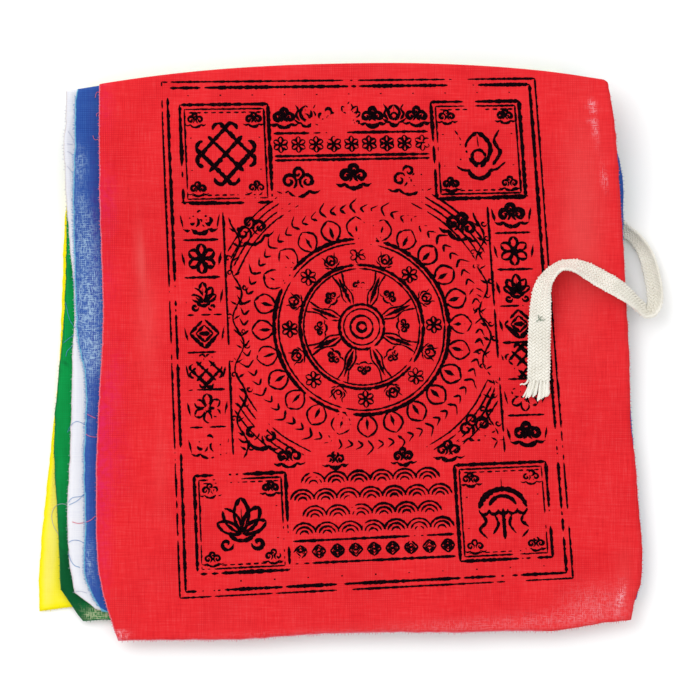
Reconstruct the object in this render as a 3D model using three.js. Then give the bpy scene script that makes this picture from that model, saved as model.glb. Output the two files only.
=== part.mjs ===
// A short string of five cotton prayer flags, folded back and forth into a flat stack and laid face up.
// Millimetres, +Z up. +X runs to the right along the headings, +Y to the top fold of the flags.
// Each flag is one sheet: a long front layer that rolls over a top fold into a narrow back layer. The
// back and front layers hold one flat cotton tape between them. The tape runs through all five headings,
// turns back at their mouths, and its loose tail comes out at the right and lies over the top flag.
import * as THREE from 'three';

const { lerp, smoothstep, degToRad } = THREE.MathUtils;

// The cloth and the tape
const clothThickness = 1;
const tapeWidth = 10.8;
const tapeThickness = 1.2;
const fitGap = 0.3;

// The headings, measured down from the top fold
const headingDepth = 22;
const pocketHeight = tapeThickness + 2 * fitGap;
const headingGap = 0.4;
const headingPitch = 2 * clothThickness + pocketHeight + headingGap;
const tapeDrop = 10.4;
const foldStep = 0.5;

// The flags below their headings
const bodyPitch = 1.6;
const slopeStart = 24;
const slopeEnd = 90;
const waveHeight = 1.8;
const tailLift = 1.75;

// How finely each sheet and the tape are divided
const columns = 14;
const bodyRows = 15;
const foldAngles = [-90, -45, 0, 45, 90];
const tapeStepsAcross = 10;
const turnSteps = 6;

// Reads a table as a smooth curve that never overshoots its rows
function curveThrough(rows, at, value) {
  const t = rows.map((row) => row[at]);
  const v = rows.map((row) => row[value]);
  const last = t.length - 1;
  const grade = t.slice(1).map((next, i) => (v[i + 1] - v[i]) / (next - t[i]));
  const slope = t.map((_, i) => {
    if (i === 0 || i === last || grade[i - 1] * grade[i] <= 0) return 0;
    return (2 * grade[i - 1] * grade[i]) / (grade[i - 1] + grade[i]);
  });
  slope[0] = grade[0];
  slope[last] = grade[last - 1];
  return (where) => {
    const place = THREE.MathUtils.clamp(where, t[0], t[last]);
    const i = Math.min(last - 1, t.findLastIndex((start) => start <= place));
    const span = t[i + 1] - t[i];
    const s = (place - t[i]) / span;
    const held = v[i] * (1 + 2 * s) * (1 - s) ** 2 + v[i + 1] * (3 - 2 * s) * s ** 2;
    return held + span * s * (1 - s) * (slope[i] * (1 - s) - slope[i + 1] * s);
  };
}

// The bowed line of the top fold, shared by all five flags
const topFold = curveThrough(
  [
    { x: -116, y: 115.8 },
    { x: -105.8, y: 117.5 },
    { x: -79.4, y: 121.4 },
    { x: -44.2, y: 124.7 },
    { x: -10, y: 126.3 },
    { x: 26, y: 126.8 },
    { x: 61.4, y: 125.6 },
    { x: 93, y: 122.9 },
    { x: 110.7, y: 120.4 },
    { x: 116.4, y: 118.7 },
  ],
  'x',
  'y',
);

// The five flags from the bottom of the stack to its top. mouth is where the pocket ends left and right.
// left, right and bottom are the cut edges of the front layer, from bottom to top and from left to right.
const flags = [
  {
    name: 'flag_yellow',
    colour: 0xf9e93a,
    mouth: { left: -113.3, right: 98.8 },
    left: [
      { y: -114.6, x: -132.5 },
      { y: -100, x: -132.66 },
      { y: -91.7, x: -132.2 },
      { y: -74, x: -130.5 },
      { y: -38.9, x: -126.9 },
      { y: -12, x: -123.8 },
      { y: 22.7, x: -122.1 },
      { y: 49, x: -121.5 },
      { y: 66, x: -120.4 },
      { y: 88, x: -118.4 },
      { y: 96, x: -113.3 },
      { y: 118, x: -113.3 },
    ],
    right: [
      { y: -112, x: 126.5 },
      { y: -60, x: 127 },
      { y: 0, x: 122.6 },
      { y: 53, x: 120.4 },
      { y: 80, x: 118 },
      { y: 98, x: 98.8 },
      { y: 124, x: 98.8 },
    ],
    bottom: [
      { x: -132.5, y: -114.6 },
      { x: -119, y: -111.5 },
      { x: -60, y: -113.5 },
      { x: 40, y: -113 },
      { x: 126.5, y: -109 },
    ],
  },
  {
    name: 'flag_green',
    colour: 0x0a8f46,
    mouth: { left: -113.3, right: 110.7 },
    left: [
      { y: -105.8, x: -122.5 },
      { y: -100, x: -123 },
      { y: -82.9, x: -123.4 },
      { y: -56.5, x: -125.2 },
      { y: -38.9, x: -125.6 },
      { y: -12.5, x: -123.9 },
      { y: 5, x: -121.7 },
      { y: 31, x: -120.9 },
      { y: 62, x: -120.6 },
      { y: 88, x: -118.6 },
      { y: 96, x: -113.3 },
      { y: 118, x: -113.3 },
    ],
    right: [
      { y: -114, x: 128 },
      { y: -60, x: 128.4 },
      { y: 0, x: 123.6 },
      { y: 53, x: 121.2 },
      { y: 84, x: 118.6 },
      { y: 96, x: 110.7 },
      { y: 122, x: 110.7 },
    ],
    bottom: [
      { x: -122.5, y: -105.8 },
      { x: -114.6, y: -118.6 },
      { x: -102.3, y: -118.1 },
      { x: -60, y: -119 },
      { x: 40, y: -118.4 },
      { x: 128, y: -112.5 },
    ],
  },
  {
    name: 'flag_white',
    colour: 0xf0f0f6,
    mouth: { left: -115.5, right: 110.7 },
    left: [
      { y: -105.8, x: -117.3 },
      { y: -98.3, x: -119.5 },
      { y: -78.5, x: -120.8 },
      { y: -56.5, x: -119.9 },
      { y: -38.9, x: -119 },
      { y: -3.7, x: -118.1 },
      { y: 22.7, x: -117.8 },
      { y: 66.7, x: -119.9 },
      { y: 92.5, x: -119.7 },
      { y: 98.5, x: -115.5 },
      { y: 118, x: -115.5 },
    ],
    right: [
      { y: -112, x: 128.6 },
      { y: -60, x: 129.2 },
      { y: 0, x: 124.4 },
      { y: 53, x: 122 },
      { y: 84, x: 119.2 },
      { y: 96, x: 110.7 },
      { y: 122, x: 110.7 },
    ],
    bottom: [
      { x: -117.3, y: -105.8 },
      { x: -108, y: -113.7 },
      { x: -60, y: -116.5 },
      { x: 40, y: -115.5 },
      { x: 128.6, y: -110.5 },
    ],
  },
  {
    name: 'flag_blue',
    colour: 0x3256a6,
    mouth: { left: -115.5, right: 110.7 },
    left: [
      { y: -114.6, x: -103.6 },
      { y: -110.2, x: -108.5 },
      { y: -100.5, x: -112 },
      { y: -74, x: -111.5 },
      { y: -47.7, x: -112.4 },
      { y: -21.3, x: -111.1 },
      { y: 9.5, x: -114.6 },
      { y: 31.5, x: -115.9 },
      { y: 66.7, x: -117.2 },
      { y: 92, x: -116.9 },
      { y: 98.5, x: -115.5 },
      { y: 118, x: -115.5 },
    ],
    right: [
      { y: -109.3, x: 130 },
      { y: -97, x: 132.6 },
      { y: -82.9, x: 131.9 },
      { y: -41.1, x: 128.7 },
      { y: 9.5, x: 125.2 },
      { y: 46.9, x: 123.9 },
      { y: 66.7, x: 123.4 },
      { y: 92.2, x: 121.6 },
      { y: 98, x: 110.7 },
      { y: 122, x: 110.7 },
    ],
    bottom: [
      { x: -103.6, y: -114.6 },
      { x: -44, y: -119.5 },
      { x: 40, y: -118.5 },
      { x: 100, y: -116.5 },
      { x: 130, y: -109.3 },
    ],
  },
  {
    name: 'flag_red',
    colour: 0xe02a33,
    mouth: { left: -105.8, right: 110.7 },
    left: [
      { y: -126.8, x: -97.9 },
      { y: -110.2, x: -103.6 },
      { y: -99.7, x: -106.7 },
      { y: -65.3, x: -107.6 },
      { y: -21.3, x: -106.3 },
      { y: 13.9, x: -104.5 },
      { y: 66.7, x: -105.8 },
      { y: 118, x: -105.8 },
    ],
    right: [
      { y: -118.1, x: 127.4 },
      { y: -104.9, x: 130.9 },
      { y: -91.7, x: 132.66 },
      { y: -65.3, x: 130.9 },
      { y: -38.9, x: 128.3 },
      { y: -3.7, x: 126.5 },
      { y: 22.7, x: 125.2 },
      { y: 66.7, x: 122.5 },
      { y: 101.9, x: 119.9 },
      { y: 118.7, x: 116.4 },
    ],
    bottom: [
      { x: -97.9, y: -126.8 },
      { x: -44.2, y: -126.2 },
      { x: -23, y: -124.3 },
      { x: 40, y: -123 },
      { x: 82.5, y: -122.2 },
      { x: 103.6, y: -121.2 },
      { x: 114.2, y: -119 },
      { x: 127.4, y: -118.1 },
    ],
  },
];

// The tape's loose tail, from the lowest pocket's right mouth, under the stack, out at its right side, round
// a tight turn and over the top flag. roll lifts the left edge of the tape, seen along its way, in degrees.
const tailRoute = [
  { x: 99.4, y: 111.3, z: 1.9, roll: 0 },
  { x: 101.6, y: 111.2, z: 1.7, roll: 0 },
  { x: 104.6, y: 110.4, z: 1.1, roll: 0 },
  { x: 108.2, y: 107.5, z: 0.65, roll: 0 },
  { x: 111, y: 102, z: 0.6, roll: 0 },
  { x: 111.4, y: 92, z: 0.6, roll: 0 },
  { x: 111.6, y: 80, z: 0.6, roll: 0 },
  { x: 113.2, y: 69, z: 0.6, roll: 0 },
  { x: 117.4, y: 60, z: 0.7, roll: 0 },
  { x: 124.3, y: 53, z: 1.5, roll: 9 },
  { x: 130, y: 48.4, z: 3.4, roll: 30 },
  { x: 134.3, y: 41, z: 4.5, roll: 44 },
  { x: 136.3, y: 33.5, z: 5.2, roll: 54 },
  { x: 137.2, y: 25, z: 6, roll: 72 },
  { x: 137.2, y: 19.4, z: 7, roll: 86 },
  { x: 135.2, y: 17.2, z: 8, roll: 88 },
  { x: 132.4, y: 19.6, z: 9.4, roll: 80 },
  { x: 129.4, y: 22.8, z: 11.2, roll: 62 },
  { x: 125.6, y: 25.6, z: 13.4, roll: 46 },
  { x: 120.2, y: 28.9, z: 15.1, roll: 38 },
  { x: 113.5, y: 32.6, z: 15.3, roll: 38 },
  { x: 108.2, y: 35.6, z: 15.8, roll: 44 },
  { x: 102.5, y: 38, z: 16.5, roll: 58 },
  { x: 96.6, y: 37.9, z: 16.4, roll: 67 },
  { x: 91.6, y: 33.6, z: 15.6, roll: 58 },
  { x: 88.8, y: 28, z: 14.1, roll: 42 },
  { x: 88.1, y: 22, z: 12.6, roll: 28 },
  { x: 87.7, y: 14, z: 11, roll: 14 },
  { x: 87.4, y: 4, z: 9.7, roll: 4 },
  { x: 87.3, y: -8, z: 9.1, roll: 0 },
  { x: 86.8, y: -20.6, z: 9, roll: 0 },
];

// A slow rise and fall of the loose cloth, from 0 to 1
function ripple(x, y) {
  const along = Math.sin((2 * Math.PI * (x + 20)) / 150 + 0.9 * Math.sin((2 * Math.PI * y) / 260));
  const down = Math.sin((2 * Math.PI * (y - 30)) / 190 + x / 90);
  return 0.5 + 0.25 * along + 0.25 * down;
}

// How much the stack is propped up by the tail that runs under its right side, from 0 to 1
function proppedUp(x, y) {
  return smoothstep(x, 50, 95) * smoothstep(y, 2, 42);
}

// The underside of a front layer: level over its heading, then a slope down to the loose part of the stack
function frontUnderside(level, x, y) {
  const heading = level * headingPitch + clothThickness + pocketHeight;
  const wave = (level / (flags.length - 1)) * waveHeight * ripple(x, y);
  const body = level * bodyPitch + wave + tailLift * proppedUp(x, y);
  return lerp(heading, body, smoothstep(topFold(x) - y, slopeStart, slopeEnd));
}

// The rows of one sheet, from the free end of its back layer, round the fold and down the front layer.
// Each row finds its y from x, its left and right ends, and its outer and inner heights.
function sheetRows(flag, level) {
  const base = level * headingPitch;
  const inset = (flags.length - 1 - level) * foldStep;
  const radius = (clothThickness + pocketHeight) / 2;
  const foldCentre = radius + clothThickness / 2;
  const leftEdge = curveThrough(flag.left, 'y', 'x');
  const rightEdge = curveThrough(flag.right, 'y', 'x');
  const bottomEdge = curveThrough(flag.bottom, 'x', 'y');
  const rows = [];

  for (const drop of [headingDepth, headingDepth / 2, foldCentre + 0.8]) {
    rows.push({
      yAt: (x) => topFold(x) - inset - drop,
      ends: () => flag.mouth,
      heights: () => ({ outer: base, inner: base + clothThickness }),
    });
  }
  for (const angle of foldAngles.map(degToRad)) {
    const turned = smoothstep(angle, -Math.PI / 2, Math.PI / 2);
    const skin = (r) => ({
      y: r * Math.cos(angle) - foldCentre,
      z: base + foldCentre + r * Math.sin(angle),
    });
    rows.push({
      yAt: (x) => topFold(x) - inset,
      ends: (y) => ({
        left: lerp(flag.mouth.left, leftEdge(y), turned),
        right: lerp(flag.mouth.right, rightEdge(y), turned),
      }),
      fold: { outer: skin(radius + clothThickness / 2), inner: skin(radius - clothThickness / 2) },
    });
  }
  const front = (yAt) => ({
    yAt,
    ends: (y) => ({ left: leftEdge(y), right: rightEdge(y) }),
    heights: (x, y) => {
      const under = frontUnderside(level, x, y);
      return { outer: under + clothThickness, inner: under };
    },
  });
  for (const drop of [tapeDrop, headingDepth - 4, slopeStart]) {
    rows.push(front((x) => topFold(x) - inset - drop));
  }
  for (let i = 1; i <= bodyRows; i++) {
    const share = i / bodyRows;
    rows.push(front((x) => lerp(topFold(x) - inset - slopeStart, bottomEdge(x), share)));
  }
  return rows;
}

// One flag: a closed sheet of even thickness, lofted through its rows
function flagGeometry(flag, level) {
  const outer = [];
  const inner = [];
  for (const row of sheetRows(flag, level)) {
    for (let j = 0; j < columns; j++) {
      const across = j / (columns - 1);
      let x = lerp(flag.mouth.left, flag.mouth.right, across);
      let y = row.yAt(x);
      for (let pass = 0; pass < 12; pass++) {
        const ends = row.ends(y);
        x = lerp(ends.left, ends.right, across);
        y = row.yAt(x);
      }
      if (row.fold) {
        outer.push([x, y + row.fold.outer.y, row.fold.outer.z]);
        inner.push([x, y + row.fold.inner.y, row.fold.inner.z]);
      } else {
        const heights = row.heights(x, y);
        outer.push([x, y, heights.outer]);
        inner.push([x, y, heights.inner]);
      }
    }
  }
  const rowCount = outer.length / columns;
  const faces = [];
  const quad = (a, b, c, d) => faces.push(a, b, c, a, c, d);
  const out = (i, j) => i * columns + j;
  const into = (i, j) => outer.length + i * columns + j;
  for (let i = 0; i < rowCount - 1; i++) {
    for (let j = 0; j < columns - 1; j++) {
      quad(out(i, j), out(i + 1, j), out(i + 1, j + 1), out(i, j + 1));
      quad(into(i, j), into(i, j + 1), into(i + 1, j + 1), into(i + 1, j));
    }
    const end = columns - 1;
    quad(out(i, 0), into(i, 0), into(i + 1, 0), out(i + 1, 0));
    quad(out(i, end), out(i + 1, end), into(i + 1, end), into(i, end));
  }
  for (let j = 0; j < columns - 1; j++) {
    const end = rowCount - 1;
    quad(out(0, j), out(0, j + 1), into(0, j + 1), into(0, j));
    quad(out(end, j), into(end, j), into(end, j + 1), out(end, j + 1));
  }
  return closedGeometry([...outer, ...inner], faces);
}

function closedGeometry(points, faces) {
  const geometry = new THREE.BufferGeometry();
  geometry.setAttribute('position', new THREE.Float32BufferAttribute(points.flat(), 3));
  geometry.setIndex(faces);
  geometry.computeVertexNormals();
  return geometry;
}

// The tape's section, as shares of its half width and half thickness, with softened corners
const tapeSection = [
  { side: 1, face: -0.5 },
  { side: 1, face: 0.5 },
  { side: 0.92, face: 1 },
  { side: -0.92, face: 1 },
  { side: -1, face: 0.5 },
  { side: -1, face: -0.5 },
  { side: -0.92, face: -1 },
  { side: 0.92, face: -1 },
];

// A flat tape through rings that each have a centre, a way ahead and a width direction
function tapeGeometry(rings) {
  const points = [];
  const faces = [];
  const sides = tapeSection.length;
  rings.forEach(({ centre, ahead, width }, k) => {
    const normal = new THREE.Vector3().crossVectors(ahead, width).normalize();
    for (const { side, face } of tapeSection) {
      const point = centre.clone();
      point.addScaledVector(width, (side * tapeWidth) / 2);
      point.addScaledVector(normal, (face * tapeThickness) / 2);
      points.push(point.toArray());
    }
    if (k === 0) return;
    for (let s = 0; s < sides; s++) {
      const next = (s + 1) % sides;
      const [a, b] = [(k - 1) * sides + s, (k - 1) * sides + next];
      faces.push(a, b, b + sides, a, b + sides, a + sides);
    }
  });
  const lastRing = (rings.length - 1) * sides;
  for (let s = 1; s < sides - 1; s++) {
    faces.push(0, s + 1, s, lastRing, lastRing + s, lastRing + s + 1);
  }
  return closedGeometry(points, faces);
}

// The held length of tape: through each pocket in turn, with an upright turn back outside each mouth
function heldTape() {
  const centres = [];
  const tapeHeight = (level) => level * headingPitch + clothThickness + pocketHeight / 2;
  const add = (x, z) => centres.push(new THREE.Vector3(x, topFold(x) - tapeDrop, z));
  flags.forEach(({ mouth }, level) => {
    const leftward = level % 2 === 0;
    const above = flags[level + 1];
    const from = leftward ? mouth.right : mouth.left;
    const to = leftward ? mouth.left : mouth.right;
    const plainEnd = above ? 0 : 1;
    for (let i = 0; i <= tapeStepsAcross; i++) {
      add(lerp(from, to + plainEnd, i / tapeStepsAcross), tapeHeight(level));
    }
    if (!above) return;
    const outward = leftward ? -1 : 1;
    for (let i = 1; i < turnSteps; i++) {
      const angle = (Math.PI * i) / turnSteps;
      const reach = (headingPitch / 2) * Math.sin(angle);
      const climb = (headingPitch / 2) * (1 - Math.cos(angle));
      add(to + outward * reach, tapeHeight(level) + climb);
    }
  });
  const width = new THREE.Vector3(0, -1, 0);
  return tapeGeometry(
    centres.map((centre, i) => {
      const before = centres[Math.max(0, i - 1)];
      const after = centres[Math.min(centres.length - 1, i + 1)];
      const ahead = after.clone().sub(before).setY(0).normalize();
      return { centre, ahead, width };
    }),
  );
}

// The loose tail: flat under the stack, on edge round the turn, and flat again where it ends
function looseTail() {
  const path = new THREE.CatmullRomCurve3(
    tailRoute.map(({ x, y, z }) => new THREE.Vector3(x, y, z)),
    false,
    'centripetal',
  );
  const steps = 2 * (tailRoute.length - 1);
  const rings = [];
  for (let i = 0; i <= steps; i++) {
    const t = i / steps;
    const before = tailRoute[Math.floor(i / 2)];
    const after = tailRoute[Math.ceil(i / 2)];
    const roll = degToRad((before.roll + after.roll) / 2);
    const ahead = path.getTangent(t);
    const left = new THREE.Vector3(-ahead.y, ahead.x, 0).normalize();
    const up = new THREE.Vector3().crossVectors(ahead, left);
    const width = left.multiplyScalar(Math.cos(roll)).addScaledVector(up, Math.sin(roll));
    rings.push({ centre: path.getPoint(t), ahead, width });
  }
  return tapeGeometry(rings);
}

function cotton(colour) {
  return new THREE.MeshStandardMaterial({ color: colour, roughness: 0.9, metalness: 0 });
}

function addPiece(group, name, geometry, material) {
  const piece = new THREE.Mesh(geometry, material);
  piece.name = name;
  group.add(piece);
}

const flagString = new THREE.Group();
flags.forEach((flag, level) => {
  addPiece(flagString, flag.name, flagGeometry(flag, level), cotton(flag.colour));
});
const tapeCotton = cotton(0xece8dc);
addPiece(flagString, 'tape_run', heldTape(), tapeCotton);
addPiece(flagString, 'tape_tail', looseTail(), tapeCotton);

export default flagString;
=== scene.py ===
# %% [markdown]
# A folded string of prayer flags
#
# The real object is a short string of thin cotton flags. Each flag is sewn over one cotton tape, and the
# string is folded flat between the flags, so that they lie on each other with the top one face up. In this
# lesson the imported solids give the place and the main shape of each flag. The sheets, the braided tape, the
# loose threads and the print are built on them. Lengths are in metres, and MM turns millimetres to metres.

import math
import random

import bmesh
import bpy
import numpy as np
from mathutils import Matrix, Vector, kdtree, noise
from mathutils.bvhtree import BVHTree


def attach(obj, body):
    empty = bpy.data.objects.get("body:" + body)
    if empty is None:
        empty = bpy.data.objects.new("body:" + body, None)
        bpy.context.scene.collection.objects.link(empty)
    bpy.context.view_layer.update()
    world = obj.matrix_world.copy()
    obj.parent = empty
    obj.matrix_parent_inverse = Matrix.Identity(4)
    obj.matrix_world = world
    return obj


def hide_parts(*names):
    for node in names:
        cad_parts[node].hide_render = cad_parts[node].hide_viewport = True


MM = 0.001
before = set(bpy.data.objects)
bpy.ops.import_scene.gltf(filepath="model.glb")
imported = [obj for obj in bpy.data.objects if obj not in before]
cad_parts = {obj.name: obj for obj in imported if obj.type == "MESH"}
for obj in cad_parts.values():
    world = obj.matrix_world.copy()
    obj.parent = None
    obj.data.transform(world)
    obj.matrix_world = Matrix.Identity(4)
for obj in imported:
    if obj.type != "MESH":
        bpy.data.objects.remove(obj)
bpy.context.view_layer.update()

# %% [markdown]
# Camera
#
# The string is shown from straight above. A long lens far away keeps the raised headings from looking
# larger than the cloth on the table. The picture is 308 mm wide at the height of the cloth.

# %% The camera over the middle of the picture
CAMERA_AT = Vector((4.2, 2.2, 3000)) * MM
VIEW_WIDTH = 308 * MM
CLOTH_HEIGHT = 8 * MM
SENSOR = 36.0

camera_data = bpy.data.cameras.new("camera")
camera_data.sensor_width = SENSOR
camera_data.lens = SENSOR * (CAMERA_AT.z - CLOTH_HEIGHT) / VIEW_WIDTH
camera_data.clip_end = 10
camera = bpy.data.objects.new("camera", camera_data)
camera.location = CAMERA_AT
bpy.context.scene.collection.objects.link(camera)
bpy.context.scene.camera = camera
print("camera lens in mm:", round(camera_data.lens, 1))

# %% [markdown]
# Strands
#
# The tape, the frayed edges and the loose threads are all made of yarn. In Blender a yarn is a curve with a
# bevel: the points give its way, and each point's radius its thickness. Many splines in one curve become one
# mesh, so a whole braid or fringe is a single piece.


# %% Helpers that make meshes and pieces
def baked(holder):
    """The holder's mesh with its bevel or its modifiers applied. The holder itself is removed."""
    bpy.context.scene.collection.objects.link(holder)
    depsgraph = bpy.context.evaluated_depsgraph_get()
    mesh = bpy.data.meshes.new_from_object(holder.evaluated_get(depsgraph))
    bpy.data.objects.remove(holder)
    return mesh


def triangles(mesh):
    return sum(len(face.vertices) - 2 for face in mesh.polygons)


def yarn_mesh(name, paths, radius, sides=4):
    """Each path is a list of (point, share of the radius)."""
    curve = bpy.data.curves.new(name, "CURVE")
    curve.dimensions = "3D"
    curve.bevel_depth = radius
    curve.bevel_resolution = (sides - 4) // 2
    curve.use_fill_caps = True
    for path in paths:
        spline = curve.splines.new("POLY")
        spline.points.add(len(path) - 1)
        for spot, (point, share) in zip(spline.points, path):
            spot.co = (*point, 1)
            spot.radius = share
    mesh = baked(bpy.data.objects.new(name, curve))
    mesh.name = name
    mesh.shade_smooth()
    return mesh


def add_piece(name, mesh, slot, *materials):
    """A finished piece that rides with the string."""
    piece = bpy.data.objects.new(name, mesh)
    bpy.context.scene.collection.objects.link(piece)
    mesh.materials.clear()
    for material in materials:
        mesh.materials.append(material)
    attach(piece, "root")
    return piece


print("helpers: baked, triangles, yarn_mesh, add_piece")

# %% [markdown]
# The tape's way
#
# The tail's way is the same list of points as in the solid. It leaves the lowest heading, runs down under
# the stack, comes out at the right, turns on its edge and lies over the top flag. roll is how far the left
# edge of the tape is lifted, in degrees. cup is how far its middle sinks between its edges, in mm. squeeze
# is the share of its width that is left where the soft braid is bunched up.

# %% The tail's route, in millimetres
TAPE_WIDTH = 10.8 * MM
TAIL_ROUTE = [
    # x, y, z, roll, cup, squeeze
    (99.4, 111.3, 1.9, 0, 0, 1),
    (101.6, 111.2, 1.7, 0, 0, 1),
    (104.6, 110.4, 1.3, 0, 0, 1),
    (108.2, 107.5, 1.05, 0, 0, 1),
    (111, 102, 1.05, 0, 0, 1),
    (111.4, 92, 1.05, 0, 0, 1),
    (111.6, 80, 1.05, 0, 0, 1),
    (113.2, 70, 1.05, 0, 0, 1),
    (117.4, 61.2, 1.15, 0, 0.1, 0.82),
    (124.3, 54.2, 2.1, 14, 0.7, 0.6),
    (130, 49.2, 3.4, 26, 2, 0.66),
    (134.6, 41.6, 4.5, 24, 3, 0.84),
    (136.8, 33.5, 5.2, 26, 3.2, 0.95),
    (138, 25.4, 6, 34, 3.2, 1),
    (137.4, 20.2, 7, 46, 2.8, 1),
    (135.4, 18.2, 8, 52, 2.4, 1),
    (132.4, 20.2, 9.4, 56, 2.2, 1),
    (129.4, 22.8, 11.2, 54, 1.8, 1),
    (125.6, 25.6, 13.4, 46, 1.2, 1),
    (120.2, 28.9, 15.1, 38, 0.8, 1),
    (113.5, 32.6, 15.3, 38, 0.6, 1),
    (108.2, 35.6, 15.8, 44, 0.6, 1),
    (102.5, 38, 16.5, 58, 0.8, 1),
    (96.6, 37.9, 16.4, 67, 0.9, 1),
    (91.6, 33.6, 15.6, 58, 0.7, 1),
    (88.8, 28, 14.1, 42, 0.4, 1),
    (88.1, 22, 12.6, 28, 0, 1),
    (87.7, 14, 11, 14, 0, 1),
    (87.4, 4, 9.7, 4, 0, 1),
    (87.3, -8, 9.1, 0, 0, 1),
    (86.8, -20.6, 9, 0, 0, 1),
]
FINE_STEPS = 40


def smooth_route(rows, step):
    """A curve through the rows, one row for each step of its length. Catmull-Rom, with centripetal knots."""
    rows = np.array(rows, float)
    knots = np.concatenate([[0], np.cumsum(np.linalg.norm(np.diff(rows[:, :3], axis=0), axis=1) ** 0.5)])
    grade = np.diff(rows, axis=0) / np.diff(knots)[:, None]
    before, after = np.diff(knots)[:-1, None], np.diff(knots)[1:, None]
    middle = (grade[1:] * before + grade[:-1] * after) / (before + after)
    slope = np.vstack([grade[:1], middle, grade[-1:]])
    fine = []
    for i, span in enumerate(np.diff(knots)):
        s = np.linspace(0, 1, FINE_STEPS, endpoint=False)[:, None]
        held = rows[i] * (1 + 2 * s) * (1 - s) ** 2 + rows[i + 1] * (3 - 2 * s) * s**2
        fine.append(held + span * s * (1 - s) * (slope[i] * (1 - s) - slope[i + 1] * s))
    fine = np.vstack(fine + [rows[-1:]])
    along = np.concatenate([[0], np.cumsum(np.linalg.norm(np.diff(fine[:, :3], axis=0), axis=1))])
    marks = np.linspace(0, along[-1], int(along[-1] / step) + 1)
    return marks, np.array([np.interp(marks, along, column) for column in fine.T]).T


TAIL_STEP = 0.45
tail_marks, tail_rows = smooth_route(TAIL_ROUTE, TAIL_STEP)
tail_marks *= MM
tail_centre = tail_rows[:, :3] * MM
TAIL_LENGTH = float(tail_marks[-1])
print("tail length in mm:", round(TAIL_LENGTH / MM, 1))

# %% [markdown]
# The braid
#
# A flat braid has an odd number of ends that all zigzag from edge to edge, going over two and under two.
# Each end is one yarn here. Its place across the tape is a triangle wave, and its height is a cosine of how
# many ends it has crossed, so that where one is up, the one that it crosses is down.

# %% The ends of the braid
ENDS = 13
ZIGZAG = 19 * MM
END_RADIUS = 0.6 * MM
END_LIFT = 0.42 * MM
THINNEST_END, END_SWELL = 0.82, 0.26


def across_directions(centre, roll):
    """The tape's width and thickness directions at each point of its way."""
    ahead = np.gradient(centre, axis=0)
    ahead /= np.linalg.norm(ahead, axis=1)[:, None]
    left = np.stack([-ahead[:, 1], ahead[:, 0], np.zeros(len(ahead))], axis=1)
    left /= np.linalg.norm(left, axis=1)[:, None]
    up = np.cross(ahead, left)
    width = left * np.cos(roll)[:, None] + up * np.sin(roll)[:, None]
    return width, np.cross(ahead, width)


def braid_paths(marks, centre, width, normal, cup, squeeze, reach):
    """One yarn path for each end. reach gives how far each end runs on past the tape's own end."""
    paths = []
    for end in range(ENDS):
        phase = (marks / ZIGZAG + end / ENDS) % 1
        rightward = phase < 0.5
        share = np.where(rightward, 2 * phase, 2 - 2 * phase)
        here = ENDS * (share / 2 - marks / ZIGZAG)
        other = ENDS * (1 - share / 2 - marks / ZIGZAG)
        swing = np.cos(math.pi / 2 * (here - other - 0.5))
        lift = END_LIFT * swing * np.where(rightward, 1, -1)
        narrowed = squeeze / (1 + 8 * cup**2 / (3 * TAPE_WIDTH**2))
        side = (share * 2 - 1) * (TAPE_WIDTH / 2 - END_RADIUS)
        sink = cup * (1 - (side / (TAPE_WIDTH / 2)) ** 2)
        points = centre + width * (side * narrowed)[:, None] + normal * (lift - sink)[:, None]
        girth = THINNEST_END + END_SWELL * np.abs(swing)
        path = [(tuple(point), thick) for point, thick in zip(points, girth)]
        paths.append(path + reach(points, side[-1]))
    return paths


print("yarns in the braid:", ENDS)

# %% [markdown]
# The frayed end
#
# Where the tape was cut, its ends come apart over the last few millimetres. They spread a little, and each
# one stops at its own length. The outermost one has sprung out to the left.

# %% Loose ends past the braid
random.seed(11)
FRAY_STEPS = 7
FRAY_LENGTH = (6.2 * MM, 8.4 * MM)
FRAY_SPREAD = 1.34
FRAY_DRIFT = -0.9 * MM
FRAY_SINK = 0.3 * MM
TIP_SCATTER = (-0.5 * MM, 0.5 * MM)
TIP_LIFT = (-0.2 * MM, 0.35 * MM)
YARN_WANDER = (-0.12 * MM, 0.12 * MM)
STRAY_FROM = 0.8
STRAY_WAY = [(-0.8, -1.2), (-1.8, -1.7), (-2.8, -1.5), (-3.6, -1.9)]
UNBRAIDED = 7.4 * MM
SPLIT_APART = (0.35 * MM, 0.7 * MM)
SPLIT_SHIFT = 0.5 * MM
SPLIT_SHARE = 0.8
braid_stop = int(np.searchsorted(tail_marks, TAIL_LENGTH - UNBRAIDED))


def frayed(points, side):
    """The last millimetres of one end, from the end of the braid to its tip."""
    start = Vector(points[-1])
    cloth_height = tail_centre[-1][2] - FRAY_SINK
    if side < -STRAY_FROM * (TAPE_WIDTH / 2 - END_RADIUS):
        spots = [(start.x + x * MM, start.y + y * MM, start.z) for x, y in STRAY_WAY]
        return [(spot, 0.75 - 0.1 * k) for k, spot in enumerate(spots)]
    length = random.uniform(*FRAY_LENGTH)
    tip_x = tail_centre[-1][0] + side * FRAY_SPREAD + FRAY_DRIFT + random.uniform(*TIP_SCATTER)
    lift = random.uniform(*TIP_LIFT)
    path = []
    for i in range(1, FRAY_STEPS + 1):
        gone = i / FRAY_STEPS
        x = start.x + (tip_x - start.x) * gone**1.3 + random.uniform(*YARN_WANDER)
        spot = (x, start.y - length * gone, max(cloth_height, start.z + lift * gone))
        path.append((spot, 1.0 - 0.3 * gone**2))
    return path


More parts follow.
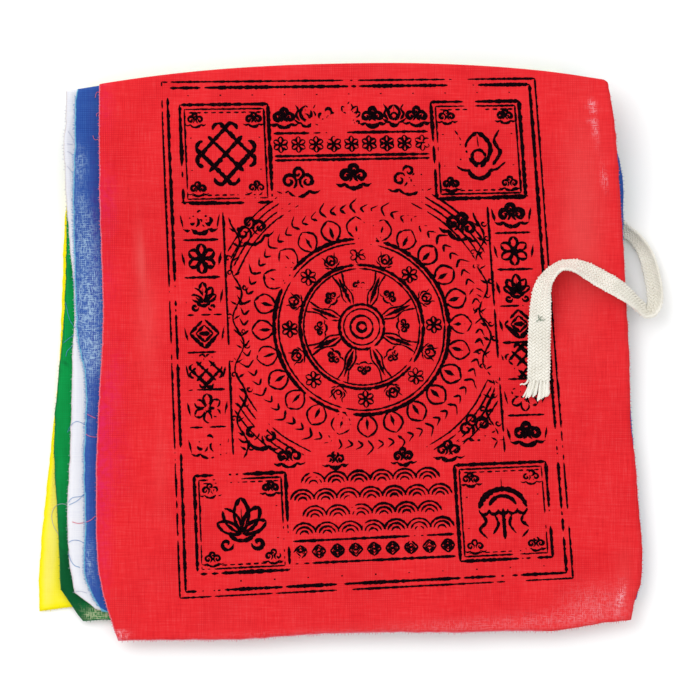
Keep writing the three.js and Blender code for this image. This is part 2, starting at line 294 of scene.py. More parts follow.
tail_width, tail_normal = across_directions(tail_centre, np.radians(tail_rows[:, 3]))
braided = slice(0, braid_stop)
tail_paths = braid_paths(
    tail_marks[braided],
    tail_centre[braided],
    tail_width[braided],
    tail_normal[braided],
    tail_rows[braided, 4] * MM,
    tail_rows[braided, 5],
    frayed,
)
longest = max(len(path) for path in tail_paths)
for path in [path for path in tail_paths if len(path) == longest]:
    for way in (-1, 1):
        apart = way * random.uniform(*SPLIT_APART)
        split = []
        for i, ((x, y, z), thick) in enumerate(path[-FRAY_STEPS - 1 :]):
            gone = i / FRAY_STEPS
            split.append(((x + apart * gone, y + way * SPLIT_SHIFT * gone, z), SPLIT_SHARE * thick))
        tail_paths.append(split)
print("yarns in the tape's end:", len(tail_paths), "of which the braid has", ENDS)

# %% [markdown]
# Cotton for the tape
#
# Natural cotton is a warm off-white. It is matt, with a faint soft sheen. Small noise makes some ends a
# little greyer, and a finer noise in the bump stands for the twist of the yarn.


# %% Node helpers
def new_material(name, roughness, sheen=0.0):
    material = bpy.data.materials.new(name)
    material.use_nodes = True
    shader = material.node_tree.nodes["Principled BSDF"]
    shader.inputs["Roughness"].default_value = roughness
    shader.inputs["Specular IOR Level"].default_value = 0.2
    shader.inputs["Sheen Weight"].default_value = sheen
    return material, material.node_tree, shader


def node(tree, kind, **settings):
    made = tree.nodes.new(kind)
    for key, value in settings.items():
        if hasattr(made, key):
            setattr(made, key, value)
        else:
            made.inputs[key.replace("_", " ")].default_value = value
    return made


def noise_node(tree, scale, detail=2.0, roughness=0.5):
    """Noise read from the piece's own place, stretched by scale, which has a number for each axis."""
    place = node(tree, "ShaderNodeTexCoord")
    stretch = node(tree, "ShaderNodeMapping")
    stretch.inputs["Scale"].default_value = scale
    grain = node(tree, "ShaderNodeTexNoise", Scale=1.0, Detail=detail, Roughness=roughness)
    tree.links.new(place.outputs["Object"], stretch.inputs["Vector"])
    tree.links.new(stretch.outputs["Vector"], grain.inputs["Vector"])
    return grain.outputs["Fac"]


def ramp(tree, value, low, high, start=0.0, end=1.0):
    """value, spread from low..high to start..end and clamped."""
    spread = node(tree, "ShaderNodeMapRange")
    for name, limit in zip(("From Min", "From Max", "To Min", "To Max"), (low, high, start, end)):
        spread.inputs[name].default_value = limit
    tree.links.new(value, spread.inputs["Value"])
    return spread.outputs["Result"]


def feed(tree, sockets, values):
    """Gives each input a value, or the output of another node."""
    for socket, value in zip(sockets, values):
        if isinstance(value, bpy.types.NodeSocket):
            tree.links.new(value, socket)
        else:
            socket.default_value = value


def mix_colour(tree, factor, first, second):
    """A mix of two colours, each a colour or another node's output."""
    mixed = node(tree, "ShaderNodeMix", data_type="RGBA")
    feed(tree, [mixed.inputs[k] for k in (0, 6, 7)], (factor, first, second))
    return mixed.outputs[2]


def math_node(tree, operation, first, second=0.0):
    """One sum on two numbers or outputs."""
    made = node(tree, "ShaderNodeMath", operation=operation)
    feed(tree, made.inputs, (first, second))
    return made.outputs[0]


def times(tree, first, second):
    return math_node(tree, "MULTIPLY", first, second)


def wave(tree, coordinate, period):
    """A sine of one coordinate. period is the length of one whole wave."""
    return math_node(tree, "SINE", times(tree, coordinate, math.tau / period))


def bump(tree, shader, height, distance, strength=1.0):
    """Puts a height on the shader's surface."""
    made = node(tree, "ShaderNodeBump", Distance=distance, Strength=strength)
    tree.links.new(height, made.inputs["Height"])
    tree.links.new(made.outputs["Normal"], shader.inputs["Normal"])


print("node helpers: noise_node, ramp, mix_colour, math_node, times, wave, bump")


# %% The tape's cotton, and its tail
def tape_cotton():
    material, tree, shader = new_material("tape_cotton", roughness=0.88, sheen=0.15)
    patches = ramp(tree, noise_node(tree, (160, 160, 160), 3), 0.35, 0.7)
    fibres = ramp(tree, noise_node(tree, (1500, 1500, 1500), 2), 0.3, 0.75)
    colour = mix_colour(tree, patches, (0.80, 0.77, 0.69, 1), (0.70, 0.665, 0.58, 1))
    colour = mix_colour(tree, times(tree, fibres, 0.35), colour, (0.90, 0.885, 0.83, 1))
    tree.links.new(colour, shader.inputs["Base Color"])
    bump(tree, shader, fibres, 0.12 * MM, 0.6)
    return material


tape_material = tape_cotton()
tail_mesh = yarn_mesh("braided_tail", tail_paths, END_RADIUS, sides=6)
tail = add_piece("braided_tail", tail_mesh, "cotton_tape", tape_material)
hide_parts("tape_tail")
print("tail triangles:", triangles(tail.data))

# %% [markdown]
# A sheet from its solid
#
# A flag's solid has the sheet's outline, its rolled top fold and its slow waves. A copy of its mesh is
# merged, and its outer skin is found by walking from face to face over every edge that isn't sharp. The skin
# is then subdivided, which rounds the fold, and Solidify gives the cloth its own thin body.


# %% The outer skin of a flag's solid
SHARPEST_TURN = math.radians(60)
SKIN_LEVELS = 3
FRONT_NORMAL = 0.3


def outer_skin(node_name):
    """The skin that holds the flag's top face, as a fine mesh."""
    skin = bmesh.new()
    skin.from_mesh(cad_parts[node_name].data)
    bmesh.ops.remove_doubles(skin, verts=skin.verts[:], dist=0.01 * MM)
    top = max(skin.faces, key=lambda face: face.calc_center_median().z)
    found = {top}
    queue = [top]
    while queue:
        face = queue.pop()
        for edge in face.edges:
            for other in edge.link_faces:
                if other not in found and other.normal.angle(face.normal) < SHARPEST_TURN:
                    found.add(other)
                    queue.append(other)
    bmesh.ops.delete(skin, geom=[face for face in skin.faces if face not in found], context="FACES")
    bmesh.ops.join_triangles(
        skin, faces=skin.faces[:], angle_face_threshold=math.pi, angle_shape_threshold=math.pi
    )
    rough = bpy.data.meshes.new(node_name + "_skin")
    skin.to_mesh(rough)
    skin.free()
    holder = bpy.data.objects.new(rough.name, rough)
    smoother = holder.modifiers.new("smoother", "SUBSURF")
    smoother.levels = smoother.render_levels = SKIN_LEVELS
    smoother.boundary_smooth = "PRESERVE_CORNERS"
    return baked(holder)


def points_of(mesh):
    flat = np.empty(len(mesh.vertices) * 3)
    mesh.vertices.foreach_get("co", flat)
    return flat.reshape(-1, 3)


def facing_up(mesh):
    """True for each vertex of the front layer."""
    flat = np.empty(len(mesh.vertices) * 3, np.float32)
    mesh.vertices.foreach_get("normal", flat)
    return flat.reshape(-1, 3)[:, 2] > FRONT_NORMAL


red_skin = outer_skin("flag_red")
print("red skin:", len(red_skin.vertices), "points")

# %% [markdown]
# Creases and cut edges
#
# Thin cotton is never quite flat. Soft ridges and troughs placed one by one follow the ones in the photo,
# and a slow noise adds the small unevenness between them. The cut edges wander by a fraction of a millimetre
# where threads have slipped.

# %% Tables of soft folds
RED_FOLDS = [
    # x, y, half length, half width, turn from the Y axis in degrees, height, all but the turn in mm
    (-91, 32, 30, 6, 3, 0.9),
    (-84, 26, 34, 5, 3, -0.6),
    (-66, 70, 45, 14, 8, 0.5),
    (108, 66, 42, 9, -6, 0.7),
    (118, -20, 60, 6, -3, 0.5),
    (104, -96, 26, 8, -62, 0.8),
    (64, -112, 34, 6, -80, 0.7),
    (20, -116, 40, 6, 88, 0.5),
    (-60, -108, 30, 9, 70, 0.5),
    (-96, -72, 44, 5, 4, 0.7),
    (40, 84, 60, 10, 84, 0.4),
    (-20, 60, 50, 16, 30, 0.35),
]
SIDE_FOLDS = [
    (-118, -10, 40, 4, 2, 0.4),
    (-124, -80, 30, 4, -6, 0.35),
    (-112, 70, 30, 4, 2, 0.35),
]
UNEVENNESS = 0.22 * MM
SLOW_WAVE, QUICK_WAVE = 26 * MM, 9 * MM
EDGE_WANDER = 0.28 * MM
SLOW_WANDER, QUICK_WANDER = 5 * MM, 1.7 * MM
print("folds on the red flag:", len(RED_FOLDS), "and on each flag below:", len(SIDE_FOLDS))

# %% Tables of cut edges
LEFT_SHIFTS = {
    # how far each flag's left edge moves at places up it: y, shift, in mm
    "yellow_flag": [(-115, -0.4), (-20, -0.5), (20, -0.8), (60, -0.4), (90, 0)],
    "green_flag": [(-106, -0.6), (-40, -0.7), (0, -0.8), (50, 0), (90, 0)],
    "white_flag": [
        (-106, 2.4), (-100, 2.0), (-94, 1.5), (-86, 0.7), (-70, 0.2), (0, 0), (14, 0.7), (30, 0.5),
        (50, -0.3), (65, -0.6), (69, -1), (82, -1.4), (89, -2.3), (93, -3.3), (97, -4.5), (104, -5),
        (117, -4.8),
    ],
    "blue_flag": [
        (-110, -1.4), (-100, -1.6), (-80, -0.8), (-30, -0.7), (-8, -0.4), (5, -1.8), (16, -1.4), (36, -0.8),
        (60, -0.4), (78, 0.1), (86, 0), (89.5, 0.5), (93, 0), (97, -0.7), (100, -1.2), (104, -1.0),
        (110, -0.8), (116, 0),
    ],
}
RIGHT_SHIFTS = {
    "blue_flag": [(40, 0.2), (70, 1), (88, 1), (96, 0.6), (106, 0)],
    "red_flag": [
        (-118, 0.4), (-110, -0.2), (-103, 0.9), (-90, 0.7), (-80, 0.2), (-66, 0.1), (-55, 0.5), (-44, 0.5),
        (-35, -0.3), (-22, 0.2), (0, 0.6), (60, 0.4), (100, 0), (110, 0.2), (117, 1.3),
    ],
}
LOW_EDGES = {
    # where the lower edge runs, in mm
    "green_flag": [
        (-123, -105.2), (-114.1, -118.7), (-102, -118.1), (-60, -119), (40, -118.4), (128, -112.5),
    ],
    "white_flag": [(-117.3, -106), (-107.1, -114), (-60, -116.5), (40, -115.5), (128.6, -110.5)],
}
LOW_SHIFTS = {
    # how far the lower edge moves at places along it: x, shift, in mm
    "red_flag": [
        (-97, -0.5), (-74, -0.3), (-53, -0.6), (-35, -0.9), (-14, -0.4), (8, -0.1), (35, -0.4),
        (48, -0.8), (74, -0.7), (82, -0.7), (89, -1.3), (98, -1.3), (107, -0.8), (115, -0.1), (125, 0),
    ],
}
EDGE_FADE = 30 * MM
SIDE_FROM = 90 * MM
LOW_BAND = 20 * MM
print("flags with a reshaped left edge:", list(LEFT_SHIFTS))


# %% The work that the tables do on a sheet
def hills(points, table):
    """The soft oval hills of a table, added up at each point."""
    height = np.zeros(len(points))
    for x, y, half_length, half_width, turn, rise in table:
        angle = math.radians(turn)
        east, north = points[:, 0] / MM - x, points[:, 1] / MM - y
        along = -east * math.sin(angle) + north * math.cos(angle)
        aside = east * math.cos(angle) + north * math.sin(angle)
        height += rise * np.exp(-((along / half_length) ** 2) - (aside / half_width) ** 2)
    return height


def rim_of(mesh):
    """The vertices on the sheet's open edges."""
    uses = {}
    for face in mesh.polygons:
        for key in face.edge_keys:
            uses[key] = uses.get(key, 0) + 1
    return sorted({i for key, count in uses.items() if count == 1 for i in key})


def set_points(mesh, points):
    mesh.vertices.foreach_set("co", points.ravel())
    mesh.update()


def reshape_edges(mesh, name):
    """Brings the cut edges to their places, and lets the shift fade into the sheet."""
    points = points_of(mesh)
    up = facing_up(mesh)
    rim = np.array([i for i in rim_of(mesh) if up[i]])
    for side, shifts in ((-1, LEFT_SHIFTS), (1, RIGHT_SHIFTS)):
        beside = points[rim][points[rim][:, 0] * side > SIDE_FROM]
        beside = beside[np.argsort(beside[:, 1])]
        if name in shifts and len(beside):
            y, shift = np.array(shifts[name]).T * MM
            edge_x = np.interp(points[:, 1], beside[:, 1], beside[:, 0])
            fade = np.clip(1 - np.abs(points[:, 0] - edge_x) / EDGE_FADE, 0, 1)
            points[up, 0] += (fade * np.interp(points[:, 1], y, shift))[up]
    if name in LOW_EDGES or name in LOW_SHIFTS:
        low = points[rim]
        low = low[low[:, 1] < low[:, 1].min() + LOW_BAND]
        low = low[np.argsort(low[:, 0])]
        edge_y = np.interp(points[:, 0], low[:, 0], low[:, 1])
        fade = np.clip(1 - np.abs(points[:, 1] - edge_y) / EDGE_FADE, 0, 1)
        x, row = np.array(LOW_EDGES.get(name) or LOW_SHIFTS[name]).T * MM
        move = np.interp(points[:, 0], x, row) - (edge_y if name in LOW_EDGES else 0)
        points[up, 1] += (fade * move)[up]
    set_points(mesh, points)


def rumple(mesh, folds, seed):
    """Adds the folds, the unevenness and the wandering edges to a sheet."""
    points = points_of(mesh)
    up = facing_up(mesh)
    rise = hills(points, folds) * MM
    shift = Vector((seed * 7.1, seed * 3.3, 0))
    for i in np.flatnonzero(up):
        spot = Vector(points[i])
        slow, quick = noise.noise(spot / SLOW_WAVE + shift), noise.noise(spot / QUICK_WAVE + shift)
        rise[i] += UNEVENNESS * (slow + 0.4 * quick)
    points[up, 2] += rise[up]
    for i in rim_of(mesh):
        spot = Vector(points[i])
        for axis in (0, 1):
            slow = noise.noise(spot / SLOW_WANDER + shift * (axis + 1))
            quick = noise.noise(spot / QUICK_WANDER + shift * (axis + 1))
            points[i, axis] += EDGE_WANDER * (slow + 0.7 * quick)
    set_points(mesh, points)


print("points on the red skin's rim:", len(rim_of(red_skin)))

# %% [markdown]
# Places that the material reads
#
# Some finishes belong to a place on the cloth: a pale raw edge, a patch of another colour, a worn spot, a
# painted highlight. Each is a number stored on the sheet's vertices. edge is the distance from the cut edge
# in millimetres, and tint and the numbers for worn spots and thin places come from small tables of soft
# ovals.
# On the red flag, the tables of worn spots and thin places also hold painted highlights: the pale marks where
# light falls on soft ridges and on the ridge over the hidden tape. The right edges took the dye and aren't
# pale, so they count as far from an edge.

# %% Tables of patches
RED_TINT = [
    # x, y, half length, half width, turn, strength
    (-104, 108, 10, 4, 0, 0.35),
    (-103.4, 66, 14, 4.5, 0, 0.5),
    (-102, 30, 14, 4, 0, 0.2),
    (-105, -26, 14, 4, 0, 0.5),
    (-105.6, -56, 22, 4.5, 0, 0.65),
    (-98, -46, 16, 5, 0, 0.2),
    (-104, -92, 14, 3, 0, 0.3),
    (-99.6, -14, 16, 4.5, 0, 0.3),
]
# The ovals down the right side, from the top to y 60, are painted highlights: the pale marks where light
# falls on the ridge that the hidden tape raises under the cloth. The ones at the lower right are a worn
# crease with a painted highlight on it. The rest are worn spots.
RED_WORN_AND_HIGHLIGHTS = [
    (110.4, 108.4, 1.8, 1.2, 12, 0.8),
    (111.2, 105.4, 1.2, 1.0, 0, 0.7),
    (110.6, 101, 1.0, 1.2, 20, 0.9),
    (111.2, 97, 3, 0.7, 4, 0.9),
    (111.6, 91, 5, 0.4, 4, 0.7),
    (114.2, 82, 5, 0.5, 4, 0.7),
    (115.0, 76, 3.4, 0.7, 6, 1.0),
    (115.6, 60, 9, 0.4, 2, 0.6),
    (107.4, 106.8, 0.8, 0.6, 0, 0.8),
    (123.6, -106.6, 5.5, 0.9, -4, 1.0),
    (122.6, -112.5, 5, 1.6, -4, 0.25),
    (112, -111, 7.5, 13, 6, 0.2),
    (100, -117.4, 3.6, 20, 4, 0.16),
    (60, -120.6, 3, 34, 2, 0.17),
    (0, -124.4, 1.6, 44, 1, 0.2),
    (106.4, -112.2, 0.5, 0.5, 0, 2),
    (128.8, -77.8, 0.45, 0.45, 0, 2),
    (-96.6, -124.4, 1.4, 3, 0, 0.9),
]
# Most of these are painted highlights: pale streaks where light falls on soft ridges near the left side and
# along the right margin. The ones along the bottom are a worn crease, lighter partly from wear and partly
# from painted highlight.
RED_THIN_AND_HIGHLIGHTS = [
    (60, -121.5, 4, 60, 2, 0.25),
    (112, -112, 8, 16, 6, 0.3),
    (125, -100, 18, 4, 0, 0.3),
    (106, 56, 46, 9, 0, 0.7),
    (-88, 41, 13, 1.6, 3, 1.1),
    (-85, 14, 22, 5, 0, 0.5),
    (-79, -50, 20, 3, 0, 0.3),
]
BLUE_TINT = [
    (-108.4, 0, 110, 1.6, 0, 0.5),
    (-107.6, 60, 30, 2.5, 0, 0.5),
]
BLUE_WORN = [
    (-114.6, 81.6, 7.5, 2.6, 0, 0.6),
    (-114.2, 65.5, 5, 2.6, 0, 0.4),
    (-112.8, 52, 11, 4.2, 0, 0.6),
    (-111, 22, 22, 5.6, 0, 0.9),
    (-109.6, -2, 9, 4.4, 0, 0.7),
    (-110.8, -24, 12, 1.4, 0, 0.3),
    (-111.6, -60, 22, 0.9, 0, 0.35),
    (-110.8, -94, 10, 1.8, 0, 0.6),
]
# Darker green towards the bottom left, with two thin dark lines and a dot near the left edge.
GREEN_TINT = [
    (-122, -114, 46, 16, 0, 1.2),
    (-119.7, -4.2, 5.5, 0.5, -48, 0.9),
    (-119, 34, 9, 0.7, -12, 0.5),
    (-121.9, -43, 0.6, 0.6, 0, 1.2),
]
GREEN_WORN = [
    (-106.4, -116.2, 2.8, 5.2, 0, 1.6),
]
YELLOW_WORN = [
    (-127, -64, 9, 1.6, -4, 0.5),
    (-128.6, -92, 9, 1, -4, 0.3),
    (-124.4, -34, 8, 1.2, -4, 0.3),
]
YELLOW_THIN = [
    (-128.4, -88, 26, 3, -4, 1),
    (-127, -70, 40, 2, -4, 0.8),
    (-126, -30, 30, 2, -4, 0.8),
]
DYED_EDGE = 3
print("patches on the red flag:", len(RED_TINT), len(RED_WORN_AND_HIGHLIGHTS), len(RED_THIN_AND_HIGHLIGHTS))


# %% The numbers on a sheet's vertices
def store(mesh, name, values):
    """Writes one number for each vertex."""
    layer = mesh.attributes.new(name, "FLOAT", "POINT")
    layer.data.foreach_set("value", np.clip(values, 0, 12).astype(np.float32))


def store_places(mesh, tint, worn_and_highlight, thin_and_highlight):
    """Writes the sheet's edge and tint numbers, and those of worn spots and thin places, which on the red
    flag also carry painted highlights.
    """
    points = points_of(mesh)
    rim = rim_of(mesh)
    tree = kdtree.KDTree(len(rim))
    for order, i in enumerate(rim):
        tree.insert(points[i], order)
    tree.balance()
    from_edge = np.array([tree.find(point)[2] for point in points]) / MM
    from_edge[points[:, 0] > SIDE_FROM] += DYED_EDGE
    store(mesh, "edge", from_edge)
    store(mesh, "tint", hills(points, tint))
    store(mesh, "worn_and_highlight", hills(points, worn_and_highlight))
    store(mesh, "thin_and_highlight", hills(points, thin_and_highlight))


print("numbers stored on each sheet: edge, tint, worn, thin")

# %% [markdown]
# Dyed cotton
#
# The flags are a plain weave of thin uneven yarn. Long streaks of noise along both axes are the thick and
# thin yarns, a slower noise is the dye's mottling, and the bump adds a dome at each crossing of the weave.
# The numbers stored on the sheet bring in the pale cut edge, the patches of another colour, the worn spots,
# the thin places and, on the red flag, painted highlights.

# %% The cloth material
WEAVE_PITCH = 0.46 * MM
GAP_PITCH = 0.93 * MM
DYE_SHARE = 0.8


def linear(red, green, blue):
    """A display colour, where 255 is full, as the linear colour that a shader reads in this strong light."""
    shares = [v / 255 for v in (red, green, blue)]
    return (*[DYE_SHARE * (v / 12.92 if v < 0.04 else ((v + 0.055) / 1.055) ** 2.4) for v in shares], 1)


def crossings(tree, axes, pitch):
    """A peak in the middle of each square of a grid with this pitch."""
    waves = [wave(tree, axes.outputs[axis], 2 * pitch) for axis in ("X", "Y")]
    return math_node(tree, "ABSOLUTE", times(tree, *waves))


def stored(tree, name):
    return node(tree, "ShaderNodeAttribute", attribute_name=name).outputs["Fac"]


def dyed_cotton(
    name,
    dye,
    deep,
    pale,
    tint,
    edge,
    rubbed_and_highlight_colour,
    edge_width=0.6,
    edge_soft=0.12,
    streaks=0.4,
    gaps=0.5,
    sheer_and_highlight=None,
    tint_evenness=0.35,
):
    """Plain-weave cotton. deep and pale are the dye's darkest and lightest yarns."""
    material, tree, shader = new_material(name, roughness=0.9, sheen=0.05)
    shader.inputs["Specular IOR Level"].default_value = 0.12
    place = node(tree, "ShaderNodeTexCoord")
    axes = node(tree, "ShaderNodeSeparateXYZ")
    tree.links.new(place.outputs["Object"], axes.inputs[0])

    weft = noise_node(tree, (90, 2100, 90), 3, 0.6)
    warp = noise_node(tree, (2100, 90, 90), 3, 0.6)
    yarns = math_node(tree, "ADD", weft, warp)
    dark_yarns = ramp(tree, yarns, 0.98, 0.72)
    light_yarns = ramp(tree, yarns, 1.02, 1.3)
    mottle = ramp(tree, noise_node(tree, (70, 70, 70), 5, 0.65), 0.42, 0.72)
    colour = mix_colour(tree, times(tree, dark_yarns, streaks), dye, deep)
    colour = mix_colour(tree, times(tree, light_yarns, streaks), colour, pale)
    colour = mix_colour(tree, times(tree, mottle, 0.14), colour, pale)

    open_weave = ramp(tree, noise_node(tree, (38, 38, 38), 3), 0.42, 0.62, 0.05, gaps)
    grids = [ramp(tree, wave(tree, axes.outputs[axis], GAP_PITCH), 0.3, 1) for axis in ("X", "Y")]
    grid = times(tree, math_node(tree, "MAXIMUM", *grids), open_weave)
    colour = mix_colour(tree, grid, colour, deep)
    if tint:
        speckle = ramp(tree, noise_node(tree, (420, 420, 420), 3, 0.7), 0.4, 0.62, tint_evenness, 1.0)
        patches = math_node(tree, "MINIMUM", times(tree, stored(tree, "tint"), speckle), 0.9)
        colour = mix_colour(tree, patches, colour, tint)
    # Thin places, and the red's painted highlights, are mixed toward the sheer colour.
    if sheer_and_highlight:
        thin_and_highlight = math_node(tree, "MINIMUM", stored(tree, "thin_and_highlight"), 1.0)
        colour = mix_colour(tree, times(tree, thin_and_highlight, 0.55), colour, sheer_and_highlight)

    dots = ramp(tree, crossings(tree, axes, GAP_PITCH), 0.4, 0.75)
    slub_scales = ((400, 2700, 400), (2700, 400, 400))
    slubs = [ramp(tree, noise_node(tree, scale, 2, 0.6), 0.53, 0.62) for scale in slub_scales]
    spots = math_node(tree, "ADD", math_node(tree, "MAXIMUM", *slubs), times(tree, dots, 0.35))
    # Worn spots, and the red's painted highlights, are mixed toward the rubbed colour.
    rubbed_and_highlight = times(tree, stored(tree, "worn_and_highlight"), spots)
    colour = mix_colour(tree, math_node(tree, "MINIMUM", rubbed_and_highlight, 0.85), colour, rubbed_and_highlight_colour)

    holes = ramp(tree, noise_node(tree, (1300, 1300, 1300), 2), 0.46, 0.62)
    ragged = math_node(tree, "ADD", stored(tree, "edge"), times(tree, holes, -0.25))
    cut = ramp(tree, ragged, edge_width + edge_soft, edge_width - edge_soft)
    colour = mix_colour(tree, cut, colour, edge)
    tree.links.new(colour, shader.inputs["Base Color"])

    height = math_node(tree, "ADD", times(tree, crossings(tree, axes, WEAVE_PITCH), 0.6), yarns)
    bump(tree, shader, height, 0.09 * MM, 0.7)
    return material


print("weave and gap pitch in mm:", WEAVE_PITCH / MM, GAP_PITCH / MM)

# %% The five dyes
DYES = {
    # dye, darkest yarns, lightest yarns, other-colour patches, cut edge, rubbed spots and painted highlights
    "red": [(241, 38, 45), (212, 22, 34), (246, 74, 78), (232, 36, 104), (246, 120, 136), (252, 190, 200)],
    "blue": [(48, 90, 174), (30, 58, 140), (74, 118, 190), (64, 54, 152), (112, 190, 222), (178, 208, 234)],
    "white": [(248, 248, 254), (222, 223, 240), (252, 252, 255), None, (228, 220, 222), (220, 220, 235)],
    "green": [(0, 158, 73), (0, 118, 50), (14, 172, 88), (0, 76, 40), (20, 112, 62), (206, 214, 170)],
    "yellow": [(264, 250, 38), (250, 224, 0), (264, 254, 100), None, (266, 250, 0), (244, 176, 24)],
}
# The red's sheer colour is mostly a painted highlight: the pale tone where light falls on its soft ridges.
FINISHES = {
    "red": {"edge_width": 0.3, "streaks": 0.6, "gaps": 0.7, "sheer_and_highlight": linear(246, 96, 94)},
    "blue": {"edge_width": 0.34},
    "white": {"edge_width": 0.3},
    "green": {"edge_width": 0.3, "tint_evenness": 0.85},
    "yellow": {"edge_width": 1.8, "edge_soft": 1.3, "sheer_and_highlight": linear(255, 246, 130)},
}
cottons = {}
for colour, dyes in DYES.items():
    shades = [linear(*dye) if dye else None for dye in dyes]
    cottons[colour] = dyed_cotton(colour + "_cotton", *shades, **FINISHES[colour])
print("cloths:", [m.name for m in bpy.data.materials if m.name.endswith("cotton")])

# %% [markdown]
# The five sheets
#
# Each sheet is cut, folded over its heading and laid on the one below. The yellow flag is at the bottom and
# the red one on top, so they are made from the bottom up, each with its own folds and patches.

# %% Thin sheets in place of the solids
CLOTH_THICKNESS = 0.35 * MM
FLAGS = [
    # colour, folds, tint, worn spots, thin places; on the red the last two also hold painted highlights
    ("yellow", SIDE_FOLDS, [], YELLOW_WORN, YELLOW_THIN),
    ("green", SIDE_FOLDS, GREEN_TINT, GREEN_WORN, []),
    ("white", SIDE_FOLDS, [], [], []),
    ("blue", SIDE_FOLDS, BLUE_TINT, BLUE_WORN, []),
    ("red", RED_FOLDS, RED_TINT, RED_WORN_AND_HIGHLIGHTS, RED_THIN_AND_HIGHLIGHTS),
]


def thickened(mesh, thickness, offset):
    """A closed copy of a sheet, with its thickness on one side of it."""
    holder = bpy.data.objects.new(mesh.name, mesh)
    wall = holder.modifiers.new("wall", "SOLIDIFY")
    wall.thickness = thickness
    wall.offset = offset
    closed = baked(holder)
    closed.shade_smooth()
    return closed


skins = {}
for level, (colour, folds, tint, worn_and_highlight, thin_and_highlight) in enumerate(FLAGS):
    name, solid = f"{colour}_flag", f"flag_{colour}"
    skin = outer_skin(solid)
    reshape_edges(skin, name)
    rumple(skin, folds, seed=level + 1)
    store_places(skin, tint, worn_and_highlight, thin_and_highlight)
    skins[name] = skin
    sheet = add_piece(name, thickened(skin, CLOTH_THICKNESS, -1), f"cotton_{colour}", cottons[colour])
    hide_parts(solid)
    area = sum(face.area for face in skin.polygons)
    print(name, "area in square cm:", round(area * 1e4), "triangles:", triangles(sheet.data))

# %% [markdown]
# Where the cloth lies
#
# Ink, fringes and loose threads all sit on the sheets. A ray sent straight down finds the height of a sheet
# at any place, and the cut edges are read from the sheets' own rims.

# %% Helpers that find the cloth
HIGH = 0.1
BOTTOM_BAND = 16 * MM
ABOVE_BOTTOM = 2 * MM
sky_trees = {
    name: BVHTree.FromPolygons([v.co for v in mesh.vertices], [p.vertices for p in mesh.polygons])
    for name, mesh in skins.items()
}


def height_on(x, y, names):
    """The height of the highest of the named sheets at a place, or of the floor."""
    found = [sky_trees[name].ray_cast(Vector((x, y, HIGH)), Vector((0, 0, -1)))[0] for name in names]
    return max([hit.z for hit in found if hit] or [0.0])


def cut_edge(name, side):
    """The front layer's cut edge as (x, y, z) rows in order, and the axis that they run along."""
    mesh = skins[name]
    points = points_of(mesh)
    up = facing_up(mesh)
    rim = np.array([i for i in rim_of(mesh) if up[i]])
    rim_points = points[rim]
    middle = rim_points[:, 0].mean()
    low = rim_points[:, 1].min()
    if side == "bottom":
        rows = rim_points[rim_points[:, 1] < low + BOTTOM_BAND]
        return rows[np.argsort(rows[:, 0])], 0
    from_middle = rim_points[:, 0] - middle
    beside = from_middle < -SIDE_FROM if side == "left" else from_middle > SIDE_FROM
    rows = rim_points[beside & (rim_points[:, 1] > low + ABOVE_BOTTOM)]
    return rows[np.argsort(rows[:, 1])], 1


def on_edge(edge, place):
    """The point of a cut edge at a place along it."""
    rows, axis = edge
    return Vector([float(np.interp(place, rows[:, axis], rows[:, k])) for k in range(3)])


print("height of the red flag's middle in mm:", round(height_on(0, 0, ["red_flag"]) / MM, 2))

# %% [markdown]
# Raw edges
#
# The flags are torn or cut and never hemmed at the sides, so single yarn ends stand out of the weave like
# fine teeth. A table says how long and how close they are on each edge. Their way is outward, with a little
# seeded scatter.

# %% Fringes of short yarn ends
FRINGE_RADIUS = 0.13 * MM
FRINGES = [
    # flag, side, first and last place, pitch, shortest and longest, all in mm
    ("blue_flag", "left", -112, 112, 0.6, 0.35, 1.15),
    ("blue_flag", "right", -106, 108, 1.6, 0.2, 0.8),
    ("red_flag", "left", -124, 114, 1.5, 0.15, 0.7),
    ("red_flag", "right", -114, 112, 1.4, 0.15, 0.7),
    ("red_flag", "bottom", -96, 126, 1.1, 0.2, 1.0),
    ("white_flag", "left", -100, 108, 1.6, 0.2, 0.9),
    ("green_flag", "left", -100, 108, 2.6, 0.15, 0.6),
    ("green_flag", "bottom", -112, 120, 1.6, 0.2, 0.9),
    ("yellow_flag", "bottom", -130, 120, 1.7, 0.2, 0.9),
]
OUTWARD = {"left": Vector((-1, 0, 0)), "right": Vector((1, 0, 0)), "bottom": Vector((0, -1, 0))}
YARN_ROOT = 0.3 * MM
YARN_LEAN = (-0.5, 0.5)
YARN_DROP = (-0.3, 0.1)
YARN_LOWEST = 0.12 * MM
PITCH_SCATTER = (0.6, 1.4)


def yarn_ends(flag, side, first, last, pitch, shortest, longest):
    """Short paths that start inside the cloth and end outside its cut edge."""
    edge = cut_edge(flag, side)
    along = Vector((0, 1, 0)) if side in ("left", "right") else Vector((1, 0, 0))
    paths = []
    place = first * MM
    while place < last * MM:
        start = on_edge(edge, place)
        start.z -= CLOTH_THICKNESS / 2
        length = random.uniform(shortest, longest) * MM
        lean = along * random.uniform(*YARN_LEAN) + Vector((0, 0, random.uniform(*YARN_DROP)))
        out = OUTWARD[side]
        inside = start - out * YARN_ROOT
        middle = start + out * length * 0.5
        tip = start + (out + lean).normalized() * length
        tip.z = max(tip.z, YARN_LOWEST)
        paths.append([(tuple(inside), 1.0), (tuple(middle), 0.9), (tuple(tip), 0.5)])
        place += pitch * MM * random.uniform(*PITCH_SCATTER)
    return paths


random.seed(23)
fringe_paths = {}
for row in FRINGES:
    fringe_paths.setdefault(row[0], []).extend(yarn_ends(*row))
print("yarn ends:", {name: len(paths) for name, paths in fringe_paths.items()})

# %% [markdown]
# Loose threads
#
# A few long threads have worked out of the edges and lie on the cloth in slack curls. Each one is a short
# list of places read from the photo, smoothed, and laid on whatever sheet is under it.

